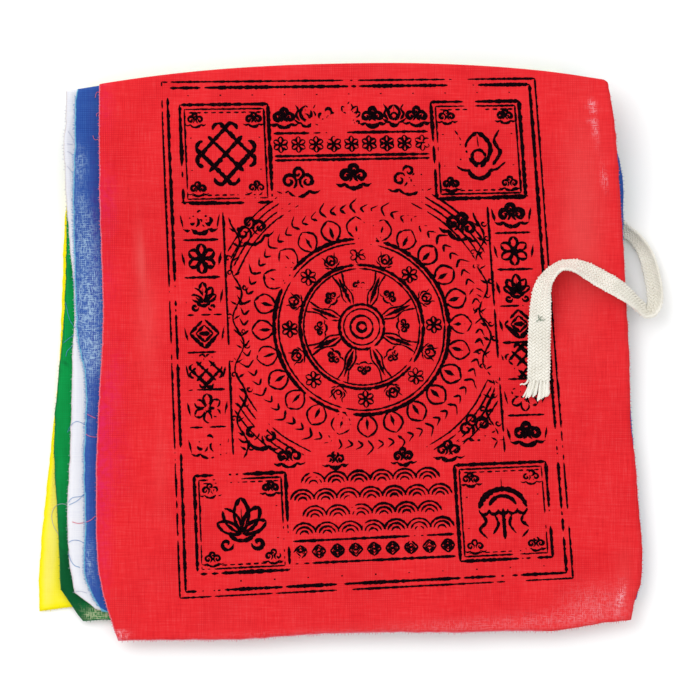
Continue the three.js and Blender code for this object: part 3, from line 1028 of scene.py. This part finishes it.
# %% Places of the threads
THREAD_LIFT = 0.16 * MM
THREAD_STEP = 0.7
SNAG = [
    # fibres drawn out of the tape: steps back from its end, then across it, in mm
    [(75, -1.3), (78, -0.1), (82, -0.8)],
    [(78, -0.1), (77, 1.2), (78, 2.6)],
    [(76, 0.3), (79, 0.4), (81, 1.0)],
]
LOOSE_THREADS = [
    # flag that it belongs to, radius in mm, then the places that it passes in mm
    ("red_flag", 0.13, [(-107.7, -29.4), (-108.9, -28.9), (-111.4, -27.6)]),
    ("red_flag", 0.13, [(-107.7, -37.7), (-110, -37.4), (-112.1, -36.4)]),
    ("red_flag", 0.14, [(-107.9, -72.4), (-109.6, -74), (-112.4, -75.2), (-115.6, -75.7), (-118.2, -75)]),
    ("red_flag", 0.12, [(-106.3, 114), (-107, 113.6), (-107.6, 111.4)]),
    ("red_flag", 0.12, [(-106.1, 104.8), (-107, 104.2), (-106.9, 103.2)]),
    ("red_flag", 0.12, [(-106, 93.4), (-107.2, 92.8), (-108, 93.2), (-108.6, 94.8)]),
    ("blue_flag", 0.1, [(-112.4, -32.2), (-116.3, -30.8), (-119, -32.9), (-120.3, -35.7)]),
    ("blue_flag", 0.1, [(-113, -63.4), (-115.6, -64), (-118.2, -64.5), (-120.3, -67)]),
    ("blue_flag", 0.1, [(-113, -63), (-116, -65.8), (-119.6, -67.6)]),
    ("white_flag", 0.1, [
        (-120.1, -68.3), (-121.5, -67.3), (-124, -67.3), (-126.1, -68.7), (-127.3, -71.8), (-126.8, -76),
        (-124.3, -80.9),
    ]),
    ("blue_flag", 0.1, [(-112.9, -84.4), (-114.9, -83.4), (-117.7, -83.1), (-119.8, -84.1)]),
    ("blue_flag", 0.12, [(-119.8, -88.7), (-118.7, -92.2), (-117, -94.3), (-114.8, -95.1)]),
    ("white_flag", 0.1, [(-111.6, -106.4), (-114.8, -105.6), (-118, -106.2)]),
    ("blue_flag", 0.12, [(-116.9, 10.3), (-118.9, 13.2), (-119.8, 15.5), (-121.2, 21.7)]),
    ("blue_flag", 0.12, [(-117.5, 7.2), (-119.6, 5.8), (-122, 3.8)]),
    ("blue_flag", 0.12, [(-117.7, 3.2), (-118.9, 1.7), (-120.4, 0.2), (-121, -2.1)]),
    ("white_flag", 0.1, [(-117.4, 93), (-118.6, 95.2), (-119.8, 96.9)]),
    ("white_flag", 0.1, [(-117.4, 90.8), (-118.8, 91.1), (-120.2, 91.2)]),
    ("white_flag", 0.1, [(-117.8, 86.2), (-118.8, 87.4), (-120.2, 87.9)]),
    ("white_flag", 0.1, [(-117.6, 78.2), (-118.9, 80), (-120.3, 81.6)]),
]
print("loose threads:", len(LOOSE_THREADS), "and fibres of the tape:", len(SNAG))


# %% Threads laid on the stack
def laid_thread(places, radius):
    """A smooth path through the places, on top of the stack."""
    rows = [(x, y, 0) for x, y in places]
    path = []
    for x, y, _ in smooth_route(rows, THREAD_STEP)[1] * MM:
        z = height_on(x, y, skins) + THREAD_LIFT
        path.append(((x, y, z), radius * MM / FRINGE_RADIUS))
    return path


for flag, radius, places in LOOSE_THREADS:
    fringe_paths.setdefault(flag, []).append(laid_thread(places, radius))


def thread_cotton(name, colour, other):
    material, tree, shader = new_material(name, roughness=0.85, sheen=0.1)
    fibres = ramp(tree, noise_node(tree, (900, 900, 900), 2), 0.35, 0.7)
    tree.links.new(mix_colour(tree, fibres, colour, other), shader.inputs["Base Color"])
    bump(tree, shader, fibres, 0.05 * MM, 0.5)
    return material


THREAD_COLOURS = {
    "yellow_flag": (linear(246, 222, 40), linear(255, 240, 120)),
    "green_flag": (linear(20, 120, 66), linear(70, 160, 100)),
    "white_flag": (linear(170, 176, 206), linear(206, 208, 228)),
    "blue_flag": (linear(96, 170, 222), linear(56, 112, 196)),
    "red_flag": (linear(238, 84, 120), linear(250, 150, 170)),
}
for name, paths in fringe_paths.items():
    material = thread_cotton(name.replace("flag", "thread_cotton"), *THREAD_COLOURS[name])
    mesh = yarn_mesh(name.replace("flag", "yarn_ends"), paths, FRINGE_RADIUS)
    add_piece(mesh.name, mesh, "cotton_" + name.split("_")[0], material)
    print(mesh.name, "triangles:", triangles(mesh))

# %% Fibres drawn out of the tape
SNAG_LIFT = 1.12 * MM
SNAG_SHARE = 1.3
snag_paths = []
for places in SNAG:
    path = []
    for back, across in places:
        i = len(tail_rows) - 1 - back
        spot = tail_centre[i] + tail_width[i] * across * MM + tail_normal[i] * SNAG_LIFT
        path.append((tuple(spot), SNAG_SHARE))
    snag_paths.append(path)
snag_material = thread_cotton("snag_thread_cotton", linear(120, 144, 124), linear(168, 178, 160))
add_piece("tape_snag", yarn_mesh("tape_snag", snag_paths, FRINGE_RADIUS), "cotton_tape", snag_material)
print("fibres drawn out of the tape:", len(snag_paths))

# %% [markdown]
# The print's plate
#
# The top flag carries a block print in black ink. A real block leaves lines of uneven weight that break up
# where the cloth didn't touch the wood. Every line is drawn as a stroke on a flat plate, 170 by 225 mm, and
# the plate's four corners say where it lands on the cloth, so the print leans and narrows as the cloth does.

# %% The plate and the shapes that fill it
PLATE = (170, 225)
PLATE_CORNERS = {
    "bottom_left": (-70.6, -108.5),
    "bottom_right": (102.3, -99.7),
    "top_left": (-78.5, 118.0),
    "top_right": (85.1, 119.6),
}
LINE = 0.38


def polar(centre, radius, turn):
    """The place at a radius and an angle in degrees from a centre."""
    angle = math.radians(turn)
    return centre[0] + radius * math.cos(angle), centre[1] + radius * math.sin(angle)


def arc(x, y, radius, start, end, width=1.0):
    """A stroke along a circle, between two angles in degrees."""
    turns = np.radians(np.linspace(start, end, max(4, int(abs(end - start) / 20) + 1)))
    return [(x + radius * math.cos(t), y + radius * math.sin(t), width) for t in turns]


def curl(x, y, outer, turns, start, hand=1, width=1.0):
    """A stroke that winds in on itself, thickest in its middle."""
    count = int(turns * 11)
    stroke = []
    for i in range(count + 1):
        done = i / count
        radius = outer * (1 - 0.82 * done)
        angle = math.radians(start) + hand * math.tau * turns * done
        weight = width * (0.75 + 0.5 * math.sin(math.pi * done))
        stroke.append((x + radius * math.cos(angle), y + radius * math.sin(angle), weight))
    return stroke


def petal(x, y, length, half, turn, width=1.0):
    """Two strokes that swell apart and meet at a tip."""
    c, s = math.cos(math.radians(turn)), math.sin(math.radians(turn))
    outline = [(0, 0.12), (0.3, 0.8), (0.62, 0.95), (0.85, 0.55), (1, 0)]
    return [
        [
            (x + length * u * c - side * half * v * s, y + length * u * s + side * half * v * c, width)
            for u, v in outline
        ]
        for side in (-1, 1)
    ]


LEAF_WIDTHS = [(0, 0.2), (0.25, 0.8), (0.5, 1.0), (0.75, 0.7), (1, 0.1)]
LEAF_THINNEST = 0.3


def leaf(x, y, length, half, turn):
    """One solid stroke, wide in its middle."""
    return [(*polar((x, y), length * u, turn), max(LEAF_THINNEST, half * w / LINE)) for u, w in LEAF_WIDTHS]


def line(*points, width=1.0):
    return [(x, y, width) for x, y in points]


def joined(*corners, width=1.0):
    """A straight stroke from each corner to the next."""
    return [line(a, b, width=width) for a, b in zip(corners, corners[1:])]


def box_lines(left, low, right, high, width=1.0):
    return joined((left, low), (right, low), (right, high), (left, high), (left, low), width=width)


def dot(x, y, size=1.3):
    return line((x - 0.35, y), (x + 0.35, y), width=size)


print("plate corners:", PLATE_CORNERS)

# %% [markdown]
# Ornament
#
# The motifs are common ones of Himalayan textiles: an endless knot, a lotus, a jewel, a flower, a parasol,
# cloud curls and waves. Each is a small function that returns strokes in a box from -1 to 1, and place() puts
# them on the plate at any size.


# %% Small motifs
def both_sides(*strokes):
    """The strokes mirrored to the left, and then the strokes as they are."""
    return [[(side * x, y, width) for x, y, width in stroke] for side in (-1, 1) for stroke in strokes]


def knot():
    strokes = []
    for k in (-0.44, 0.0, 0.44):
        strokes.append(line((k - 0.62, -k - 0.62), (k + 0.62, -k + 0.62), width=1.15))
        strokes.append(line((k + 0.62, k - 0.62), (k - 0.62, k + 0.62), width=1.15))
    for x, y, start in ((0.84, 0.4, -90), (-0.84, 0.4, 90), (0.84, -0.4, -90), (-0.84, -0.4, 90)):
        strokes.append(arc(x * 0.98, y * 0.55, 0.22, start, start + 180, 1.1))
    for x, start in ((0.4, 0), (-0.4, 0)):
        strokes.append(arc(x * 0.55, 0.84, 0.22, start, start + 180, 1.1))
        strokes.append(arc(x * 0.55, -0.84, 0.22, start + 180, start + 360, 1.1))
    return strokes


def lotus():
    strokes = petal(0, -0.35, 1.25, 0.26, 90)
    for lean, length, half in ((35, 1.1, 0.24), (66, 0.95, 0.2)):
        strokes += petal(0, -0.35, length, half, 90 - lean)
        strokes += petal(0, -0.35, length, half, 90 + lean)
    strokes.append(leaf(0, -0.2, 0.7, 0.07, 90))
    strokes.append(arc(0, -0.1, 0.52, 210, 330, 1.3))
    strokes.append(curl(-0.55, -0.72, 0.24, 1.1, 0, -1))
    strokes.append(curl(0.55, -0.72, 0.24, 1.1, 180, 1))
    return strokes


def jewel():
    strokes = petal(0, -0.62, 1.25, 0.46, 90, 1.2)
    strokes += [arc(0, -0.25, 0.24, 0, 360), leaf(0, 0.1, 0.4, 0.07, 90)]
    flame = [(0.5, -0.55, 1.3), (0.78, -0.1, 1.1), (0.6, 0.3, 0.9), (0.8, 0.7, 0.6)]
    tongue = [(0.32, -0.75, 1.2), (0.62, -0.7, 1), (0.95, -0.45, 0.7)]
    strokes += both_sides(flame, tongue)
    strokes.append(arc(0, -0.6, 0.42, 200, 340, 1.4))
    return strokes


def flower():
    strokes = [arc(0, 0, 0.2, 0, 360, 1.1), dot(0, 0)]
    for turn in range(90, 450, 60):
        strokes += petal(*polar((0, 0), 0.2, turn), 0.75, 0.26, turn)
    return strokes


def lozenge():
    strokes = []
    for size, width in ((0.95, 1.3), (0.55, 1.0)):
        strokes += joined((size, 0), (0, size), (-size, 0), (0, -size), (size, 0), width=width)
    return strokes + [dot(0, 0, 1.8)]


def parasol():
    strokes = [arc(0, -0.05, 0.85, 12, 168, 1.4), arc(0, 0.05, 0.5, 20, 160)]
    strokes += [arc(-0.66 + 0.33 * k, 0.08, 0.17, 180, 360) for k in range(5)]
    strokes += [line((0, 0.1), (0, -1.0), width=1.2), leaf(0, 0.78, 0.4, 0.09, 90)]
    ribbon = [(0.8, 0.0, 1.0), (0.62, -0.35, 1.2), (0.85, -0.62, 1), (0.6, -0.95, 0.7)]
    cord = [(0.3, -0.1, 0.9), (0.2, -0.45, 1.1), (0.4, -0.8, 0.7)]
    return strokes + both_sides(ribbon, cord)


def cloud():
    strokes = [curl(-0.48, 0.0, 0.42, 1.4, -60, 1, 1.15), curl(0.48, 0.0, 0.42, 1.4, 240, -1, 1.15)]
    strokes += [curl(0, 0.42, 0.36, 1.3, -100, 1, 1.15), arc(0, -0.1, 0.7, 215, 325, 1.3)]
    strokes.append([(0.5, -0.5, 1.3), (0.85, -0.62, 1.0), (1.15, -0.5, 0.5)])
    strokes.append([(-0.5, -0.5, 1.3), (-0.85, -0.62, 1.0), (-1.15, -0.5, 0.5)])
    return strokes


def ripples():
    return [arc(0, -0.6, radius, 12, 168, 1.1) for radius in (1.0, 0.68, 0.36)]


MOTIFS = {f.__name__: f() for f in (knot, lotus, jewel, flower, lozenge, parasol, cloud, ripples)}
print("strokes in each motif:", {name: len(shape) for name, shape in MOTIFS.items()})

# %% [markdown]
# The layout
#
# A wheel with eight spokes fills the middle, with a ring of petals round it. Four framed panels hold a larger
# motif each, and clouds, flowers, ripples and small repeats fill the bands between them. The whole list of
# strokes is kept in plate millimetres.

# %% Filling the plate
plate_strokes = []


def draw(*strokes):
    plate_strokes.extend(strokes)


def place(shape, x, y, size, turn=0.0, flip=1, bold=1.0):
    """Draws a motif, or a list of strokes, at a size and an angle."""
    c, s = polar((0, 0), 1, turn)
    for stroke in shape if isinstance(shape, list) else MOTIFS[shape]:
        turned = [(flip * u * c - v * s, flip * u * s + v * c, bold * w) for u, v, w in stroke]
        draw([(x + size * east, y + size * north, w) for east, north, w in turned])


WHEEL = (85, 116)
WHEEL_RINGS = [
    # radius, line weight
    (39, 2.0), (37, 1.0), (27.5, 1.8), (25.8, 1.0), (10, 1.8), (8, 1.0), (5, 1.4), (2, 1.6),
]
for radius, weight in WHEEL_RINGS:
    draw(arc(*WHEEL, radius, 0, 360, weight))
SPOKE = [
    # along, half width, line weight
    (9.5, 0.6, 1.0),
    (15, 2.2, 1.0),
    (20, 1.2, 1.0),
    (25.8, 2.4, 1.0),
]
for turn in np.arange(22.5, 360, 45):
    place([[(r, side * half, w) for r, half, w in SPOKE] for side in (-1, 1)], *WHEEL, 1, turn)
    draw(leaf(*polar(WHEEL, 11, turn), 13, 0.9, turn))
    place("cloud", *polar(WHEEL, 18.5, turn + 22.5), 3.6, turn - 67.5)
    place("flower", *polar(WHEEL, 32, turn + 22.5), 4.0)
    place("jewel", *polar(WHEEL, 32, turn), 3.9, turn - 90)
for turn in range(0, 360, 15):
    draw(*petal(*polar(WHEEL, 39, turn), 10, 4.4, turn, 1.1))
    draw(leaf(*polar(WHEEL, 40.5, turn), 5.5, 0.7, turn))

FLAME_FROM, FLAME_TO = 50.5, 54.5
FLAME_BEND = 2.2
for turn in range(0, 360, 5):
    tip = FLAME_TO + 2.5 * (turn % 15 == 0)
    flame = [(FLAME_FROM, 0, 1.5), ((FLAME_FROM + tip) / 2, FLAME_BEND, 1.2), (tip, -0.4 * FLAME_BEND, 0.5)]
    draw([(*polar(WHEEL, radius, turn + bend), w) for radius, bend, w in flame])
for quarter in (45, 135, 225, 315):
    for k, radius in enumerate((60, 62.6, 65.2, 67.8)):
        draw(arc(*WHEEL, radius, quarter - 20 + 2 * k, quarter + 20 - 2 * k, 1.0))
print("strokes in the wheel:", len(plate_strokes))

# %% Frames and panels
for inset, weight in ((0, 1.1), (2.6, 1.7)):
    draw(*box_lines(inset, inset, PLATE[0] - inset, PLATE[1] - inset, weight))

PANELS = [
    # motif, left, low, right, high
    ("knot", 8, 172, 48, 215),
    ("jewel", 122, 172, 162, 215),
    ("lotus", 8, 10, 48, 53),
    ("parasol", 122, 10, 162, 53),
]
for motif, left, low, right, high in PANELS:
    for inset, weight in ((0, 1.8), (2, 1.0)):
        draw(*box_lines(left + inset, low + inset, right - inset, high - inset, weight))
    middle = ((left + right) / 2, (low + high) / 2)
    place(motif, *middle, 12.5, bold=1.7)
    for k in range(10):
        dash = left + 4 + 3.4 * k
        for y in (low + 3.5, high - 3.5):
            draw(line((dash, y), (dash + 2.2, y), width=1.4))
    for side_x in (-1, 1):
        for side_y in (-1, 1):
            corner = (middle[0] + side_x * 13.2, middle[1] + side_y * 15)
            place("cloud", *corner, 4.2, flip=side_x, bold=1.1)
            draw(dot(middle[0] + side_x * 15.5, middle[1] + side_y * 7))
print("strokes with the panels:", len(plate_strokes))

# %% Columns, bands and clouds
SIDE_COLUMN = ["cloud", "flower", "knot", "lozenge", "lotus", "flower", "cloud"]
for k, motif in enumerate(SIDE_COLUMN):
    y = 66 + 16.4 * k
    for x, flip in ((15, 1), (155, -1)):
        place(motif, x, y, 6.8, flip=flip, bold=1.6)
        draw(line((x - 8, y + 8.2), (x + 8, y + 8.2), width=1.3))
        for side in (-1, 1):
            draw(leaf(x + side * 7.6, y - 3, 6, 0.55, 90 - side * 12))
for x in (25.5, 144.5):
    draw(line((x, 58), (x, 168), width=1.3))
    vine = [(x + (4.6 if x < 85 else -4.6) + 2.2 * math.sin(k * 0.9), 60 + 3.2 * k, 1.1) for k in range(34)]
    draw(vine)
    for k in range(1, 33, 2):
        side = 1 if math.sin(k * 0.9) < 0 else -1
        draw(leaf(vine[k][0], vine[k][1], 3.6, 0.55, 90 - side * 58))
        draw(curl(vine[k][0] - side * 1.6, vine[k][1] + 1.4, 1.5, 1.0, 0, side, 0.9))

TOP_BAND = ["cloud", "jewel", "cloud", "lotus", "cloud", "jewel", "cloud"]
for k, motif in enumerate(TOP_BAND):
    place(motif, 55 + 10 * k, 209 + (k % 2) * 1.5, 5.6, flip=1 - 2 * (k % 2), bold=1.5)
for k in range(9):
    place("flower", 53 + 8 * k, 197, 3.7, bold=1.2)
    place("lozenge", 53 + 8 * k, 17.5, 3.2, bold=1.2)
for y in (202, 192, 190.2, 12.5, 22.4):
    draw(line((50, y), (120, y), width=1.4))
for row in range(4):
    for k in range(7 - row % 2):
        place("ripples", 55 + 10 * k + 5 * (row % 2), 28 + 7.4 * row, 5.4, bold=1.1)
CLOUDS = [
    # x, y, size, turn, flip
    (38, 160, 8, 20, 1),
    (132, 160, 8, -20, -1),
    (38, 70, 8, -16, 1),
    (132, 70, 8, 16, -1),
    (60, 181, 8.5, 0, 1),
    (85, 183, 7, 0, 1),
    (110, 181, 8.5, 0, -1),
    (50, 60, 6, 0, 1),
    (120, 60, 6, 0, -1),
    (70, 58, 5, 0, 1),
    (100, 58, 5, 0, -1),
]
for row in CLOUDS:
    place("cloud", *row, bold=1.5)
for k in range(11):
    draw(dot(12 + 14.6 * k, 6.2, 1.6))
    draw(dot(12 + 14.6 * k, 219, 1.6))
print("strokes on the plate:", len(plate_strokes))

# %% [markdown]
# Ink on cloth
#
# Each stroke becomes a flat ribbon: a curve with an extrusion and no bevel, turned to lie flat, with its
# points' radii as the line's weight. A seeded noise makes the line swell, thin and break. The ribbons are
# then dropped onto the red sheet and given the ink's own small thickness.

# %% Ribbons of ink
INK_STEP = 0.6
INK_LIFT = 0.05 * MM
INK_THICKNESS = 0.03 * MM
INK_PATCH, INK_GRAIN, INK_SLIP = 13, 1.1, 0.9
SLIP_REACH = 0.16 * MM
THINNEST = 0.35
BREAK_BELOW = -0.5


def on_cloth(a, b):
    """Where a point of the plate lands on the cloth, in metres."""
    s, t = a / PLATE[0], b / PLATE[1]
    corner = {name: Vector(at) for name, at in PLATE_CORNERS.items()}
    low = corner["bottom_left"].lerp(corner["bottom_right"], s)
    high = corner["top_left"].lerp(corner["top_right"], s)
    return low.lerp(high, t) * MM


def ink_runs(stroke):
    """The stroke's unbroken runs as (place, weight) rows."""
    rows = [(a, b, 0, w) for a, b, w in stroke]
    runs = [[]]
    for a, b, _, weight in smooth_route(rows, INK_STEP)[1]:
        slow = noise.noise(Vector((a / INK_PATCH, b / INK_PATCH, 5.5)))
        quick = noise.noise(Vector((a / INK_GRAIN, b / INK_GRAIN, 2.5)))
        strength = 0.95 * slow + 0.5 * quick
        if strength < BREAK_BELOW:
            runs.append([])
            continue
        slip = Vector((quick, noise.noise(Vector((b / INK_SLIP, a / INK_SLIP, 8)))))
        thick = weight * (1.0 + 0.5 * slow + 0.6 * quick)
        runs[-1].append((on_cloth(a, b) + slip * SLIP_REACH, max(THINNEST, thick)))
    for run in runs:
        for i, (spot, thick) in enumerate(run):
            from_end = min(i, len(run) - 1 - i)
            run[i] = (spot, thick * min(1.0, 0.35 + 0.3 * from_end))
    return [run for run in runs if len(run) > 1]


def ink_mesh():
    curve = bpy.data.curves.new("block_print", "CURVE")
    curve.dimensions = "3D"
    curve.twist_mode = "Z_UP"
    curve.extrude = LINE * MM
    for stroke in plate_strokes:
        for run in ink_runs(stroke):
            spline = curve.splines.new("POLY")
            spline.points.add(len(run) - 1)
            for point, (spot, weight) in zip(spline.points, run):
                point.co = (spot.x, spot.y, 0, 1)
                point.radius = weight
                point.tilt = math.pi / 2
    return baked(bpy.data.objects.new("block_print", curve))


def dropped_on_red(mesh):
    """The flat ribbons, laid on the red sheet with their faces up."""
    ink = bmesh.new()
    ink.from_mesh(mesh)
    bmesh.ops.reverse_faces(ink, faces=[face for face in ink.faces if face.normal.z < 0])
    for vertex in ink.verts:
        vertex.co.z = height_on(vertex.co.x, vertex.co.y, ["red_flag"]) + INK_LIFT
    ink.to_mesh(mesh)
    ink.free()
    return thickened(mesh, INK_THICKNESS, 1)


print("ink step in mm:", INK_STEP, "and line half width:", LINE)


# %% The ink's black, and the print on its flag
def block_ink():
    material, tree, shader = new_material("block_ink", roughness=0.95)
    shader.inputs["Specular IOR Level"].default_value = 0.03
    weave = noise_node(tree, (1500, 1500, 1500), 2, 0.6)
    gaps = times(tree, ramp(tree, weave, 0.66, 0.74), 0.6)
    colour = mix_colour(tree, gaps, linear(14, 3, 8), linear(150, 20, 30))
    tree.links.new(colour, shader.inputs["Base Color"])
    bump(tree, shader, weave, 0.06 * MM, 0.5)
    return material


block_print = add_piece("block_print", dropped_on_red(ink_mesh()), "cotton_red", block_ink())
print("ink triangles:", triangles(block_print.data))

# %% [markdown]
# What each sheet is and what is on it
#
# Every flag was one flat piece of cotton before it was folded over its heading. Each lies on the one below,
# with its own loose yarns on it, and the top one has the print as well.

# %% A name for each sheet
for level, (colour, *_) in enumerate(FLAGS):
    name = f"{colour}_flag"

# %% [markdown]
# The tape in the headings
#
# Between the front and back layers of every heading runs the same braid. It turns back at the mouths, where
# it shows from the side. Inside the headings nobody sees it, so its points lie further apart there.

# %% The held length of the tape
HEADING_PITCH = 4.2
TAPE_DROP = 10.4
TAPE_HEIGHT = 1.9
POCKET_POINTS = 90
TURN_STEP = 12
LAST_SHORTER = 1.0
TOP_FOLD = [
    # x, y in mm
    (-116, 115.8), (-105.8, 117.5), (-79.4, 121.4), (-44.2, 124.7), (-10, 126.3), (26, 126.8),
    (61.4, 125.6), (93, 122.9), (110.7, 120.4), (116.4, 118.7),
]
MOUTHS = [
    # left, right in mm, from the bottom flag up
    (-112.4, 98.8), (-112.4, 110.7), (-112.8, 110.7), (-112.8, 110.7), (-105.8, 110.7),
]


def held_rows():
    """The tape's centre through the pockets, in mm."""
    fold_x, fold_y = zip(*TOP_FOLD)
    rows = []
    for level, (left, right) in enumerate(MOUTHS):
        leftward = level % 2 == 0
        start, end = (right, left) if leftward else (left, right)
        height = level * HEADING_PITCH + TAPE_HEIGHT
        last = level == len(MOUTHS) - 1
        rows += [(x, height) for x in np.linspace(start, end + last * LAST_SHORTER, POCKET_POINTS)]
        if not last:
            out = -1 if leftward else 1
            for angle in np.radians(np.arange(TURN_STEP, 180, TURN_STEP)):
                reach = HEADING_PITCH / 2 * math.sin(angle)
                rows.append((end + out * reach, height + HEADING_PITCH / 2 * (1 - math.cos(angle))))
    return np.array([(x, np.interp(x, fold_x, fold_y) - TAPE_DROP, z) for x, z in rows])


held_centre = held_rows() * MM
held_marks = np.concatenate([[0], np.cumsum(np.linalg.norm(np.diff(held_centre, axis=0), axis=1))])
ahead = np.gradient(held_centre, axis=0)
ahead[:, 1] = 0
ahead /= np.linalg.norm(ahead, axis=1)[:, None]
held_width = np.tile(np.array([0.0, -1.0, 0.0]), (len(ahead), 1))
held_normal = np.cross(ahead, held_width)
no_cup = np.zeros(len(ahead))
held_paths = braid_paths(
    held_marks, held_centre, held_width, held_normal, no_cup, no_cup + 1, lambda points, side: []
)
held_mesh = yarn_mesh("braided_tape", held_paths, END_RADIUS)
held_tape = add_piece("braided_tape", held_mesh, "cotton_tape", tape_material)
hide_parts("tape_run")
print("held tape length in mm:", round(held_marks[-1] / MM))

# %% [markdown]
# Floor and light
#
# The string lies on a plain pale table under a large soft lamp from the upper left. An even white sky fills
# the shadows, so that the dyes keep their full colour.

# %% Table, lamp and sky
FLOOR_BELOW = 0.15 * MM
FLOOR_HALF = 1.5

table = bmesh.new()
bmesh.ops.create_grid(table, x_segments=4, y_segments=4, size=FLOOR_HALF)
bmesh.ops.translate(table, verts=table.verts[:], vec=Vector((0, 0, -FLOOR_BELOW)))
table_mesh = bpy.data.meshes.new("floor")
table.to_mesh(table_mesh)
table.free()
floor = bpy.data.objects.new("floor", table_mesh)
bpy.context.scene.collection.objects.link(floor)
floor_material, _, floor_shader = new_material("floor_paint", roughness=0.9)
floor_shader.inputs["Base Color"].default_value = (0.97, 0.97, 0.97, 1)
table_mesh.materials.append(floor_material)

LAMP_AT = Vector((-0.75, 0.8, 1.3))
LAMP_SIZE = 1.3
LAMP_WATTS = 11
SKY = 1.0

lamp_data = bpy.data.lights.new("lamp", "AREA")
lamp_data.size = LAMP_SIZE
lamp_data.energy = LAMP_WATTS
lamp = bpy.data.objects.new("lamp", lamp_data)
lamp.location = LAMP_AT
lamp.rotation_euler = (-LAMP_AT).to_track_quat("-Z", "Y").to_euler()
bpy.context.scene.collection.objects.link(lamp)

world = bpy.data.worlds.new("sky")
world.use_nodes = True
world.node_tree.nodes["Background"].inputs["Color"].default_value = (1, 1, 1, 1)
world.node_tree.nodes["Background"].inputs["Strength"].default_value = SKY
bpy.context.scene.world = world
bpy.context.scene.view_settings.view_transform = "Standard"
print("lamp watts and sky:", LAMP_WATTS, SKY)
